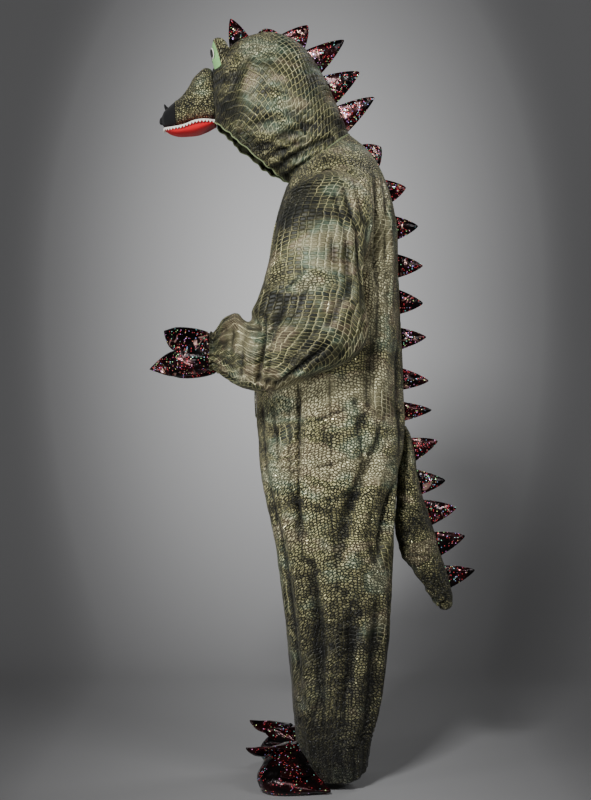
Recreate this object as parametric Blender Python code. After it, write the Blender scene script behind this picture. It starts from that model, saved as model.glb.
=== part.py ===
"""Dinosaur costume: a hooded jumpsuit of embossed velour, held open in the shape it has when worn.

Metres, +Z up. The suit faces -X and its own left side is at -Y. The origin lies between the shoulders,
where the wearer carries it. Every cloth panel is a wall of real thickness, cut at its seams.
"""

import math
from collections import namedtuple

import bmesh
import bpy
from mathutils import Vector

# Driving dimensions
CLOTH = 0.002
SEAM_GAP = 0.0003
SEAT_GAP = 0.0006
FLOOR = 1.42
ROUNDNESS = 2.25
LEFT, RIGHT = -1, 1
SIDES = {"left": LEFT, "right": RIGHT}

# Neckline, where hood and body meet
NECK_BACK = Vector((0.0322, 0, 0.0575))
NECK_FRONT = Vector((-0.1035, 0, -0.0529))
NECK_HALF_WIDTH = 0.085

# Heights below the shoulders
UNDERARM = 0.27
CROTCH_TOP = 0.58
CROTCH = 0.73
ANKLE = 1.25
INSTEP_HEM = 1.318
SIDE_HEM = 1.402
HEEL_HEM = 1.374

# Body and legs: side outline from the front, half widths from the plane of symmetry
Section = namedtuple("Section", "drop front back outer inner")
BODY = [
    Section(0.270, -0.150, 0.145, 0.190, 0.0006),
    Section(0.414, -0.172, 0.150, 0.192, 0.0006),
    Section(0.536, -0.182, 0.152, 0.195, 0.0006),
    Section(0.621, -0.177, 0.153, 0.200, 0.0006),
    Section(0.730, -0.166, 0.137, 0.203, 0.0010),
    Section(0.776, -0.157, 0.129, 0.203, 0.0030),
    Section(0.888, -0.134, 0.128, 0.199, 0.0070),
    Section(1.009, -0.117, 0.123, 0.193, 0.0110),
    Section(1.134, -0.103, 0.113, 0.186, 0.0160),
    Section(1.260, -0.094, 0.094, 0.177, 0.0240),
    Section(1.323, -0.088, 0.076, 0.163, 0.0380),
    Section(1.410, -0.070, 0.067, 0.152, 0.0460),
]

# Long soft folds. Angle runs from the front (0) over the side (90) to the back (180), inside leg at -90 and 270.
Fold = namedtuple("Fold", "angle top bottom half_width depth lean")
BODY_FOLDS = [
    Fold(106, 0.63, 0.94, 9, 0.021, -42),
    Fold(61, 0.49, 0.90, 8, 0.014, -13),
    Fold(147, 0.73, 0.92, 9, 0.016, -36),
    Fold(69, 0.86, 1.30, 9, 0.016, 4),
    Fold(101, 0.96, 1.37, 9, 0.013, -10),
    Fold(136, 0.96, 1.35, 10, 0.016, 8),
    Fold(28, 0.62, 1.24, 9, 0.011, 12),
    Fold(-38, 0.86, 1.32, 11, 0.013, 8),
    Fold(-72, 0.80, 1.20, 10, 0.010, -8),
    Fold(216, 0.84, 1.36, 11, 0.014, -6),
    Fold(133, 0.05, 0.30, 8, 0.015, -14),
    Fold(36, 0.16, 0.54, 9, 0.011, 8),
    Fold(161, 0.40, 0.70, 8, 0.011, 10),
    Fold(121, 0.34, 0.62, 8, 0.010, -14),
]

PANEL_COLUMNS = 10

# Sleeve rings from the shoulder cap to the wrist: front and back edges seen from the side, inner and outer edges
Ring = namedtuple("Ring", "front_x front_z back_x back_z inner_y inner_z outer_y outer_z")
SLEEVE = [
    Ring(-0.118, -0.138, 0.078, -0.140, 0.2080, -0.284, 0.236, -0.072),
    Ring(-0.136, -0.208, 0.057, -0.222, 0.2040, -0.325, 0.278, -0.138),
    Ring(-0.154, -0.282, 0.056, -0.300, 0.2050, -0.362, 0.302, -0.222),
    Ring(-0.168, -0.326, 0.060, -0.362, 0.2060, -0.396, 0.314, -0.300),
    Ring(-0.179, -0.352, 0.062, -0.424, 0.2060, -0.424, 0.321, -0.352),
    Ring(-0.184, -0.363, 0.012, -0.474, 0.2040, -0.440, 0.325, -0.396),
    Ring(-0.187, -0.369, -0.055, -0.503, 0.1990, -0.447, 0.324, -0.425),
    Ring(-0.192, -0.373, -0.108, -0.522, 0.1920, -0.452, 0.318, -0.443),
    Ring(-0.201, -0.372, -0.152, -0.531, 0.1830, -0.452, 0.307, -0.450),
    Ring(-0.218, -0.366, -0.190, -0.530, 0.1720, -0.448, 0.291, -0.449),
    Ring(-0.237, -0.367, -0.222, -0.518, 0.1600, -0.441, 0.270, -0.442),
    Ring(-0.254, -0.381, -0.247, -0.501, 0.1520, -0.438, 0.246, -0.439),
    Ring(-0.270, -0.407, -0.269, -0.482, 0.1500, -0.444, 0.222, -0.446),
    Ring(-0.279, -0.404, -0.280, -0.486, 0.1460, -0.445, 0.224, -0.446),
]
SLEEVE_ROUNDNESS = 0.88
ARMHOLE_TOP = 0.46
ARMHOLE_HALF_ANGLE = 34.0
ARMHOLE_STEPS = 9

# Hood: crown from the snout seam back to the neck, and the edge of the face opening below it
Crown = namedtuple("Crown", "place x z half_width")
CROWN = [
    Crown(0.00, -0.2806, 0.2070, 0.060),
    Crown(0.09, -0.2599, 0.2369, 0.076),
    Crown(0.17, -0.2380, 0.2610, 0.086),
    Crown(0.28, -0.1955, 0.2852, 0.099),
    Crown(0.38, -0.1495, 0.2921, 0.110),
    Crown(0.49, -0.1035, 0.2806, 0.118),
    Crown(0.58, -0.0690, 0.2553, 0.121),
    Crown(0.74, -0.0299, 0.1978, 0.117),
    Crown(0.88, 0.0046, 0.1265, 0.102),
    Crown(1.00, 0.0322, 0.0575, 0.085),
]
FaceEdge = namedtuple("FaceEdge", "place x z y")
FACE_EDGE = [
    FaceEdge(0.00, -0.2737, 0.0805, 0.046),
    FaceEdge(0.20, -0.2461, 0.0575, 0.066),
    FaceEdge(0.42, -0.2185, 0.0310, 0.076),
    FaceEdge(0.66, -0.1665, -0.0120, 0.066),
    FaceEdge(0.84, -0.1370, -0.0350, 0.038),
    FaceEdge(1.00, -0.1035, -0.0529, 0.000),
]
HOOD_FOLDS = [
    Fold(0.86, 0.42, 1.00, 0.055, 0.008, -0.30),
    Fold(0.72, 0.46, 1.00, 0.050, 0.010, -0.26),
    Fold(0.58, 0.50, 1.00, 0.045, 0.007, -0.22),
]

HOOD_ROWS, HOOD_COLUMNS = 17, 12

# Snout, stuffed: upper and lower outline and half width, from the hood to the nose
Slice = namedtuple("Slice", "top_x top_z low_x low_z half_width")
SNOUT = [
    Slice(-0.2812, 0.2066, -0.2748, 0.0880, 0.059),
    Slice(-0.2990, 0.2108, -0.2910, 0.0890, 0.059),
    Slice(-0.3174, 0.1960, -0.3100, 0.0890, 0.056),
    Slice(-0.3363, 0.1660, -0.3310, 0.0845, 0.051),
    Slice(-0.3547, 0.1440, -0.3510, 0.0765, 0.047),
    Slice(-0.3660, 0.1345, -0.3630, 0.0748, 0.045),
]
NOSE = [
    Slice(-0.3664, 0.1341, -0.3634, 0.0746, 0.0445),
    Slice(-0.3800, 0.1215, -0.3780, 0.0735, 0.039),
    Slice(-0.3920, 0.1110, -0.3900, 0.0745, 0.030),
    Slice(-0.3985, 0.0980, -0.3975, 0.0815, 0.017),
]
MOUTH = [
    Slice(-0.2740, 0.0872, -0.2732, 0.0780, 0.040),
    Slice(-0.2990, 0.0878, -0.2990, 0.0645, 0.049),
    Slice(-0.3210, 0.0850, -0.3210, 0.0572, 0.047),
    Slice(-0.3450, 0.0765, -0.3450, 0.0550, 0.042),
    Slice(-0.3640, 0.0734, -0.3640, 0.0555, 0.036),
    Slice(-0.3790, 0.0722, -0.3790, 0.0600, 0.028),
    Slice(-0.3900, 0.0725, -0.3900, 0.0670, 0.015),
]
NOSTRIL_SEAT = Vector((-0.3860, 0.013, 0.1151))
NOSTRIL_FACING = Vector((-0.65, 0.15, 0.74)).normalized()
TOOTH_PITCH = 0.0078
TOOTH_CLEAR = 0.0026
TOOTH_LENGTH = 0.0068
FELT = 0.0014

TAIL_SEWN = 0.63

# Tail, stuffed: front and back outline seen from the side
TAIL = [
    Slice(0.1520, -0.6060, 0.1640, -0.6130, 0.006),
    Slice(0.1560, -0.6300, 0.1745, -0.6370, 0.018),
    Slice(0.1545, -0.6780, 0.1850, -0.6830, 0.043),
    Slice(0.1500, -0.7200, 0.1905, -0.7240, 0.052),
    Slice(0.1440, -0.7650, 0.2005, -0.7700, 0.055),
    Slice(0.1390, -0.8150, 0.2160, -0.8180, 0.056),
    Slice(0.1380, -0.8620, 0.2300, -0.8580, 0.054),
    Slice(0.1480, -0.9000, 0.2410, -0.8970, 0.050),
    Slice(0.1690, -0.9354, 0.2500, -0.9280, 0.045),
    Slice(0.2040, -0.9812, 0.2610, -0.9660, 0.037),
    Slice(0.2240, -1.0100, 0.2700, -0.9960, 0.028),
    Slice(0.2400, -1.0270, 0.2690, -1.0160, 0.016),
]

# Spikes: two ends of the base, then the tip, seen from the side; lean tips a spike over to one side
Spike = namedtuple("Spike", "base_x0 base_z0 base_x1 base_z1 tip_x tip_z lean")
HOOD_SPIKES = [
    Spike(-0.2424, 0.2553, -0.1967, 0.2820, -0.2394, 0.3232, 0),
    Spike(-0.1770, 0.2890, -0.1310, 0.2905, -0.1560, 0.3480, 84),
    Spike(-0.1265, 0.2890, -0.0690, 0.2560, -0.0640, 0.3080, 0),
    Spike(-0.0670, 0.2530, -0.0310, 0.1990, 0.0177, 0.2744, 0),
    Spike(-0.0275, 0.1930, 0.0025, 0.1300, 0.0529, 0.2001, 0),
    Spike(0.0060, 0.1240, 0.0300, 0.0640, 0.0874, 0.1428, 0),
]
BACK_SPIKES = [
    Spike(0.0, 0.0347, 0.0, -0.0179, 0.1230, 0.0480, 50),
    Spike(0.0, -0.0440, 0.0, -0.0980, 0.1610, -0.0642, 0),
    Spike(0.0, -0.1281, 0.0, -0.1842, 0.1886, -0.1523, 0),
    Spike(0.0, -0.2160, 0.0, -0.2709, 0.1996, -0.2433, 0),
    Spike(0.0, -0.2974, 0.0, -0.3547, 0.1996, -0.3296, 0),
    Spike(0.0, -0.3855, 0.0, -0.4361, 0.2072, -0.4073, 0),
    Spike(0.0, -0.4777, 0.0, -0.5285, 0.2130, -0.5078, 0),
    Spike(0.0, -0.5560, 0.0, -0.6020, 0.2192, -0.5750, 0),
]
TAIL_SPIKES = [
    Spike(0.0, -0.6390, 0.0, -0.6920, 0.2339, -0.6468, 0),
    Spike(0.0, -0.7119, 0.0, -0.7682, 0.2514, -0.7376, 0),
    Spike(0.0, -0.7806, 0.0, -0.8386, 0.2760, -0.7999, 0),
    Spike(0.0, -0.8545, 0.0, -0.9092, 0.2962, -0.8650, 0),
    Spike(0.0, -0.9320, 0.0, -0.9830, 0.3190, -0.9437, 0),
]
SPIKE_THICKNESS = 0.011
SPIKE_EDGE = 0.0016
SPIKE_ROWS = (0.0, 0.25, 0.5, 0.75, 0.95)
SPIKE_STEP = 0.05

# Eye mounds on the hood's brow, with the plane that parts the felt eyeball from the cloth lid
EYE_PLACE = (0.22, 0.088)
EYE_SPAN = (0.12, 0.074)
EYE_HEIGHT = 0.047
EYE_AXIS = Vector((-0.36, 0.06, 1.0))
EYE_PARTING = Vector((-0.93, 0.20, -0.26))
EYEBALL_SHARE = 0.30
GAZE = Vector((-0.93, 0.28, -0.16))
EYE_WHITE_RADIUS = 0.0125
PUPIL_RADIUS = 0.0100

# Flap over the back of the hand, ending in two claws: corners seen from the side, with the distance out
FLAP_UPPER_EDGE = [(-0.284, -0.402, 0.190), (-0.315, -0.392, 0.186), (-0.352, -0.392, 0.172), (-0.382, -0.399, 0.150)]
FLAP_LOWER_EDGE = [(-0.285, -0.487, 0.190), (-0.322, -0.501, 0.186), (-0.366, -0.499, 0.172), (-0.414, -0.484, 0.150)]
FLAP_NOTCH = Vector((-0.350, 0.182, -0.4443))
FLAP_BULGE = 0.026
FLAP_PADDING = 0.009

# Foot cover: a dome from the leg's hem to the floor round the toes, with three padded claws
TOE_OUT = math.radians(30)
FOOT_CENTRE = Vector((-0.024, 0.106, 0))
FOOT_LENGTH = 0.146
FOOT_HALF_WIDTH = 0.050
HEM_STEPS = PANEL_COLUMNS - 2
FOOT_HEM_ANGLE = 90.0 - 180.0 / PANEL_COLUMNS
FOOT_ROWS, FOOT_COLUMNS = 7, 2 * HEM_STEPS
TOE_BULGE = 0.060
FootClaw = namedtuple("FootClaw", "across half_across along0 along1 tip_x tip_y tip_z lift")
FOOT_CLAWS = [
    FootClaw(0.30, 0.100, 0.12, 0.36, -0.163, 0.078, -1.329, 1.4),
    FootClaw(0.54, 0.125, 0.10, 0.46, -0.200, 0.172, -1.321, 1.8),
    FootClaw(0.79, 0.105, 0.16, 0.46, -0.122, 0.232, -1.372, 1.8),
]
CLAW_PADDING = 0.009
CLAW_GAP = 0.0009

PLACKET_HALF_WIDTH = 0.018
PLACKET_LEVELS = (0.07, 1.70)

# Each material's colour, roughness and metallic value
MATERIALS = {
    "scale_velour": ((0.085, 0.105, 0.060), 0.42, 0.25),
    "sparkle_cloth": ((0.060, 0.012, 0.016), 0.25, 0.60),
    "red_felt": ((0.520, 0.018, 0.030), 0.90, 0.0),
    "white_felt": ((0.780, 0.760, 0.680), 0.90, 0.0),
    "green_felt": ((0.260, 0.480, 0.250), 0.85, 0.0),
    "black_felt": ((0.012, 0.012, 0.013), 0.80, 0.0),
}


def make_materials():
    for name, (colour, roughness, metallic) in MATERIALS.items():
        material = bpy.data.materials.new(name)
        material.use_nodes = True
        shader = material.node_tree.nodes["Principled BSDF"]
        shader.inputs["Base Color"].default_value = (*colour, 1.0)
        shader.inputs["Roughness"].default_value = roughness
        shader.inputs["Metallic"].default_value = metallic


def smooth(knots, values, at):
    """Value at a place between knots, on a smooth curve through all of them."""
    if at <= knots[0]:
        return values[0]
    if at >= knots[-1]:
        return values[-1]
    i = max(k for k in range(len(knots) - 1) if knots[k] <= at)
    span = knots[i + 1] - knots[i]
    t = (at - knots[i]) / span

    def slope(k):
        low, high = max(k - 1, 0), min(k + 1, len(knots) - 1)
        return (values[high] - values[low]) * (span / (knots[high] - knots[low]))

    start = values[i] * (1 + 2 * t) * (1 - t) ** 2 + slope(i) * (t * (1 - t) ** 2)
    end = values[i + 1] * (t * t * (3 - 2 * t)) + slope(i + 1) * (t * t * (t - 1))
    return start + end


def column(table, field, at):
    """One named column of a table, read between its rows."""
    return smooth([row[0] for row in table], [getattr(row, field) for row in table], at)


def ease(t):
    t = min(max(t, 0.0), 1.0)
    return t * t * (3 - 2 * t)


def power(value, exponent):
    return math.copysign(abs(value) ** exponent, value)


def bezier(a, b, c, d, t):
    u = 1 - t
    return a * u**3 + b * (3 * u * u * t) + c * (3 * u * t * t) + d * t**3


def normal_of(point_at, a, b, step_a, step_b, inside):
    """Unit normal of a surface at (a, b), turned away from the point inside."""
    across = point_at(a + step_a, b) - point_at(a - step_a, b)
    along = point_at(a, b + step_b) - point_at(a, b - step_b)
    normal = across.cross(along).normalized()
    return normal if normal.dot(point_at(a, b) - inside) >= 0 else -normal


def mirrored(point, side):
    return Vector((point.x, point.y * side, point.z))


def leg_middle(drop):
    """Distance of a section's centre from the plane of symmetry: none in the body, half the width in a leg."""
    outer = column(BODY, "outer", drop)
    if drop >= CROTCH:
        return (outer + column(BODY, "inner", drop)) / 2
    share = max(0.0, (drop - CROTCH_TOP) / (CROTCH - CROTCH_TOP))
    return (outer + column(BODY, "inner", drop)) / 2 * (1 - (1 - share) ** 2)


def section_point(angle, drop, height=None):
    """Point of the horizontal section at a drop below the shoulders."""
    front, back = column(BODY, "front", drop), column(BODY, "back", drop)
    middle = leg_middle(drop)
    half_width = column(BODY, "outer", drop) - middle
    turn = math.radians(angle)
    x = (front + back) / 2 - (back - front) / 2 * power(math.cos(turn), 2 / ROUNDNESS)
    y = middle + half_width * power(math.sin(turn), 2 / ROUNDNESS)
    return Vector((x, y, -drop if height is None else height))


def neck_point(angle):
    share = (1 + math.cos(math.radians(angle))) / 2
    point = NECK_BACK.lerp(NECK_FRONT, share)
    point.y = NECK_HALF_WIDTH * math.sin(math.radians(angle))
    return point


def shoulder_point(angle, level):
    """Yoke of the body from the neckline (level 0) over the shoulder to the underarm (level 1)."""
    turn = math.radians(angle)
    ahead, beside, behind = max(0, math.cos(turn)) ** 2, math.sin(turn) ** 2, max(0, -math.cos(turn)) ** 2
    chest, neck = section_point(angle, UNDERARM), neck_point(angle)
    lift = 0.07 * ahead + 0.21 * beside + 0.17 * behind
    reach = 0.022 * ahead + 0.09 * beside + 0.088 * behind
    rise = -0.047 * ahead + 0.008 * beside - 0.0625 * behind
    outward = Vector((-math.cos(turn), math.sin(turn), 0))
    return bezier(neck, neck + outward * reach + Vector((0, 0, rise)), chest + Vector((0, 0, lift)), chest, level)


def hem_drop(angle):
    away = abs((angle + 180) % 360 - 180)
    forward = INSTEP_HEM + (SIDE_HEM - INSTEP_HEM) * ease((away - 8) / 74)
    return forward + (HEEL_HEM - SIDE_HEM) * ease((away - 110) / 70)


def drop_at(angle, level):
    """Levels 1 to 2 run from underarm to crotch, and 2 to 3 down the leg to its hem."""
    if level <= 2:
        return UNDERARM + (CROTCH - UNDERARM) * (level - 1)
    share = (level - 2) / 0.86
    if share <= 1:
        return CROTCH + (ANKLE - CROTCH) * share
    return ANKLE + (hem_drop(angle) - ANKLE) * (level - 2.86) / 0.14


def plain_body_point(angle, level):
    return shoulder_point(angle, level) if level <= 1 else section_point(angle, drop_at(angle, level))


def fold_depth(angle, drop):
    """How far the long folds sink or rise at a place on body or leg."""
    depth = 0.0
    for fold in BODY_FOLDS:
        length = fold.bottom - fold.top
        share = (drop - fold.top) / length
        if not 0 < share < 1:
            continue
        away = (angle - fold.angle - fold.lean * (share - 0.5)) / fold.half_width
        window = math.sin(math.pi * share) ** 0.8
        depth += fold.depth * window * (0.55 * math.exp(-((away - 1.6) ** 2)) - math.exp(-away * away))
    return depth


def body_inside(angle, level):
    point = plain_body_point(angle, level)
    if level <= 1:
        return Vector((-0.02, 0, -0.20))
    return Vector((0, leg_middle(-point.z), point.z))


def body_wall(angle, level, out=0.0):
    """Outer and inner point of the cloth at a place, both moved out by a distance."""
    point = plain_body_point(angle, level)
    normal = normal_of(plain_body_point, angle, level, 0.4, 0.004, body_inside(angle, level))
    shift = fold_depth(angle, -point.z) + out
    return point + normal * shift, point + normal * (shift - CLOTH)


def inner_angle(level):
    """Angle of the centre seam, which turns under through the crotch to the inside leg."""
    if level <= 1:
        return 0.0
    if level >= 2:
        return -90.0
    drop = drop_at(0, level)
    middle = leg_middle(drop)
    half_width = column(BODY, "outer", drop) - middle
    return -math.degrees(math.asin(min(1.0, (middle / half_width) ** (ROUNDNESS / 2))))


def armhole_angle(level):
    if not ARMHOLE_TOP < level < 1:
        return 0.0
    share = (level - ARMHOLE_TOP) / (1 - ARMHOLE_TOP)
    return ARMHOLE_HALF_ANGLE * (4 * share * (1 - share)) ** 0.6


def armhole_levels():
    return [ARMHOLE_TOP + (1 - ARMHOLE_TOP) * k / ARMHOLE_STEPS for k in range(ARMHOLE_STEPS + 1)]


def body_levels():
    yoke = [ARMHOLE_TOP * k / 3 for k in range(3)]
    trunk = [1 + share for share in (0.13, 0.26, 0.39, 0.52, 0.64, 0.75, 0.85, 0.93, 0.98)]
    leg = [2 + 0.86 * k / 8 for k in range(9)]
    hem = [2.86 + 0.14 * k / 3 for k in range(1, 4)]
    return yoke + armhole_levels() + trunk + leg + hem


def pulled_back(line, distance):
    """A line of points with both ends drawn in, which leaves the gap at a seam."""
    first, last = line[1] - line[0], line[-2] - line[-1]
    return [line[0] + first.normalized() * distance, *line[1:-1], line[-1] + last.normalized() * distance]


def seamed(grid):
    """A grid of points drawn in on all four edges by half a seam gap."""
    rows = [pulled_back(row, SEAM_GAP / 2) for row in grid]
    columns = [pulled_back(list(line), SEAM_GAP / 2) for line in zip(*rows)]
    return [list(row) for row in zip(*columns)]


def add_object(name, mesh, material):
    bmesh.ops.recalc_face_normals(mesh, faces=mesh.faces)
    data = bpy.data.meshes.new(name)
    mesh.to_mesh(data)
    mesh.free()
    data.materials.append(bpy.data.materials[material])
    data.shade_smooth()
    data.set_sharp_from_angle(angle=math.radians(50))
    made = bpy.data.objects.new(name, data)
    bpy.data.collections["dinosaur_costume"].objects.link(made)
    return made


def wall(name, outer, inner, material, side=RIGHT, tube=False):
    """A closed cloth wall lofted between an outer and an inner grid of points; a tube joins its last column to its first."""
    mesh = bmesh.new()
    skins = [[[mesh.verts.new(mirrored(p, side)) for p in row] for row in grid] for grid in (outer, inner)]
    rows, columns = len(outer), len(outer[0])
    steps = columns if tube else columns - 1
    for skin in skins:
        for i in range(rows - 1):
            for j in range(steps):
                k = (j + 1) % columns
                mesh.faces.new((skin[i][j], skin[i][k], skin[i + 1][k], skin[i + 1][j]))
    out, back = skins
    for i in (0, rows - 1):
        for j in range(steps):
            k = (j + 1) % columns
            mesh.faces.new((out[i][j], out[i][k], back[i][k], back[i][j]))
    if not tube:
        for j in (0, columns - 1):
            for i in range(rows - 1):
                mesh.faces.new((out[i][j], out[i + 1][j], back[i + 1][j], back[i][j]))
    return add_object(name, mesh, material)


def stuffed(name, rings, material, side=RIGHT):
    """A closed padded form lofted through rings, each end closed by a fan."""
    mesh = bmesh.new()
    loops = [[mesh.verts.new(mirrored(p, side)) for p in ring] for ring in rings]
    count = len(loops[0])
    for near, far in zip(loops, loops[1:]):
        for j in range(count):
            k = (j + 1) % count
            mesh.faces.new((near[j], near[k], far[k], far[j]))
    for loop in (loops[0], loops[-1]):
        middle = mesh.verts.new(sum((v.co for v in loop), Vector()) / count)
        for j in range(count):
            mesh.faces.new((loop[j], loop[(j + 1) % count], middle))
    return add_object(name, mesh, material)


def body_panel(name, side, back):
    """Front or back of one half, cut in one from the shoulder to the hem."""
    outer, inner = [], []
    columns = PANEL_COLUMNS
    for level in body_levels():
        start = inner_angle(level)
        end = 90 - armhole_angle(level)
        if back:
            start, end = 180 - start, 180 - end
        places = [start + (end - start) * j / columns for j in range(columns + 1)]
        pairs = [body_wall(angle, level) for angle in places]
        outer.append([pair[0] for pair in pairs])
        inner.append([pair[1] for pair in pairs])
    return wall(name, seamed(outer), seamed(inner), "scale_velour", side)


def angle_at_width(level, width):
    """Angle near the front where the yoke or body is that far from the plane of symmetry."""
    low, high = inner_angle(level), 60.0
    for _ in range(30):
        middle = (low + high) / 2
        low, high = (middle, high) if plain_body_point(middle, level).y < width else (low, middle)
    return low


def front_placket():
    """Strip over the front opening, lying on both fronts."""
    first, last = PLACKET_LEVELS
    levels = [first, *[level for level in body_levels() if first + 0.02 < level < last - 0.02], last]
    widths = [PLACKET_HALF_WIDTH * k for k in (-1, 0, 1)]
    outer, inner = [], []
    for level in levels:
        pairs = []
        for width in widths:
            angle = angle_at_width(level, abs(width))
            pair = body_wall(angle, level, SEAT_GAP + CLOTH)
            pairs.append([mirrored(point, math.copysign(1, width)) for point in pair])
        outer.append([pair[0] for pair in pairs])
        inner.append([pair[1] for pair in pairs])
    return wall("front_placket", outer, inner, "scale_velour")


def armhole_ring():
    """Edge of the armhole, from its front over the shoulder and down the back, just clear of the body."""
    points = []
    count = 2 * ARMHOLE_STEPS
    levels = armhole_levels()
    for k in range(count):
        steps = (k - count // 4 + count) % count
        if steps <= ARMHOLE_STEPS:
            level, sign = levels[steps], 1
        else:
            level, sign = levels[count - steps], -1
        angle = 90 + sign * armhole_angle(level)
        out, back = body_wall(angle, level)
        points.append(out + (out - back).normalized() * SEAM_GAP * 2)
    return points


def sleeve_ring(ring, count):
    front = Vector((ring.front_x, 0, ring.front_z))
    back = Vector((ring.back_x, 0, ring.back_z))
    middle = (front + back) / 2
    middle.y = (ring.inner_y + ring.outer_y) / 2
    front.y = back.y = middle.y
    outer = Vector((middle.x, ring.outer_y, ring.outer_z)) - middle
    inner = Vector((middle.x, ring.inner_y, ring.inner_z)) - middle
    points = []
    for k in range(count):
        turn = math.tau * k / count
        ahead, aside = power(math.cos(turn), SLEEVE_ROUNDNESS), power(math.sin(turn), SLEEVE_ROUNDNESS)
        lengthwise = (front - middle) * max(0, ahead) + (back - middle) * max(0, -ahead)
        sideways = outer * max(0, aside) + inner * max(0, -aside)
        points.append(middle + lengthwise + sideways)
    return points


def grid_normals(grid):
    """Normals of a tube's points, worked out from their neighbours and turned away from its axis."""
    rows, count = len(grid), len(grid[0])
    normals = []
    for i, ring in enumerate(grid):
        centre = sum(ring, Vector()) / count
        low, high = grid[max(i - 1, 0)], grid[min(i + 1, rows - 1)]
        line = []
        for j in range(count):
            across = ring[(j + 1) % count] - ring[j - 1]
            normal = across.cross(high[j] - low[j]).normalized()
            line.append(normal if normal.dot(ring[j] - centre) >= 0 else -normal)
        normals.append(line)
    return normals


def gathered(ring_index, position, count):
    """Small gathers where elastic draws in the wrist."""
    strength = {len(SLEEVE) - 2: 0.0022, len(SLEEVE) - 1: 0.0030}.get(ring_index, 0.0)
    return strength * math.cos(math.pi * position) if position < count else 0.0


def elbow_crease(ring_index, position, count):
    """Deep fold where the upper sleeve droops over the forearm."""
    around = math.cos(math.tau * (position / count - 0.13))
    depth = {6: 0.005, 7: 0.018, 8: 0.011, 9: -0.005}.get(ring_index, 0.0)
    return -depth * max(0.0, around) ** 1.5


def sleeve(name, side):
    first = armhole_ring()
    count = len(first)
    rings = [first] + [sleeve_ring(ring, count) for ring in SLEEVE]
    normals = grid_normals(rings)
    outer, inner = [], []
    for i, (ring, line) in enumerate(zip(rings, normals)):
        shifts = [gathered(i - 1, j, count) + elbow_crease(i - 1, j, count) for j in range(count)]
        outer.append([p + n * s for p, n, s in zip(ring, line, shifts)])
        inner.append([p + n * (s - CLOTH) for p, n, s in zip(ring, line, shifts)])
    return wall(name, outer, inner, "scale_velour", side, tube=True)


def hood_point(across, along):
    """Hood from the crown (across 0) to the face opening (1), and from the snout (along 0) to the neck (1)."""
    crown = Vector((column(CROWN, "x", along), 0, column(CROWN, "z", along)))
    edge = Vector((column(FACE_EDGE, "x", along), 0, column(FACE_EDGE, "z", along)))
    half_width = column(CROWN, "half_width", along)
    last = math.pi - math.asin(min(1.0, column(FACE_EDGE, "y", along) / half_width))
    turn = last * across
    point = crown.lerp(edge, (1 - math.cos(turn)) / (1 - math.cos(last)))
    point.y = half_width * math.sin(turn)
    return point


def hood_wall(across, along, out=0.0):
    point = hood_point(across, along)
    normal = normal_of(hood_point, across, along, 0.004, 0.004, Vector((-0.13, 0, 0.12)))
    shift = out
    for fold in HOOD_FOLDS:
        share = (along - fold.top) / (fold.bottom - fold.top)
        if 0 < share < 1:
            away = (across - fold.angle - fold.lean * (share - 0.5)) / fold.half_width
            shift -= fold.depth * math.sin(math.pi * share) * math.exp(-away * away)
    return point + normal * shift, point + normal * (shift - CLOTH)


def hood_half(name, side):
    places = [[(j / HOOD_COLUMNS, i / HOOD_ROWS) for j in range(HOOD_COLUMNS + 1)] for i in range(HOOD_ROWS + 1)]
    pairs = [[hood_wall(*place) for place in row] for row in places]
    outer = seamed([[pair[0] for pair in row] for row in pairs])
    inner = seamed([[pair[1] for pair in row] for row in pairs])
    return wall(name, outer, inner, "scale_velour", side)


def slice_ring(cut, count, flatness=1.0, across_power=1.0):
    """Ring of a stuffed form between its upper and lower outline, flatter below where flatness is under 1."""
    top, low = Vector((cut.top_x, 0, cut.top_z)), Vector((cut.low_x, 0, cut.low_z))
    middle = (top + low) / 2
    points = []
    for k in range(count):
        turn = math.tau * k / count
        height = math.cos(turn)
        exponent = 1.0 if height > 0 else flatness
        point = middle + (top - middle) * power(height, exponent)
        point.y = cut.half_width * power(math.sin(turn), across_power)
        points.append(point)
    return points


def snout_and_nose():
    stuffed("snout", [slice_ring(cut, 18, 0.55, 0.85) for cut in SNOUT], "scale_velour")
    stuffed("nose", [slice_ring(cut, 18, 0.55, 0.85) for cut in NOSE], "black_felt")
    stuffed("mouth_lining", [slice_ring(cut, 16, 0.8, 0.7) for cut in MOUTH], "red_felt")
    seat = NOSTRIL_SEAT + NOSTRIL_FACING * 1.4 * SEAT_GAP
    across = Vector((0, 1, 0)).cross(NOSTRIL_FACING).normalized()
    aside = NOSTRIL_FACING.cross(across)
    turns = [math.tau * k / 8 for k in range(8)]
    for name, side in SIDES.items():
        rings = []
        for height, radius in ((0, 0.0046), (0.005, 0.0033), (0.009, 0.0007)):
            centre = seat + NOSTRIL_FACING * height
            rings.append([centre + across * radius * 0.8 * math.cos(t) + aside * radius * math.sin(t) for t in turns])
        stuffed(f"nostril_{name}", rings, "black_felt", side)


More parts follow.
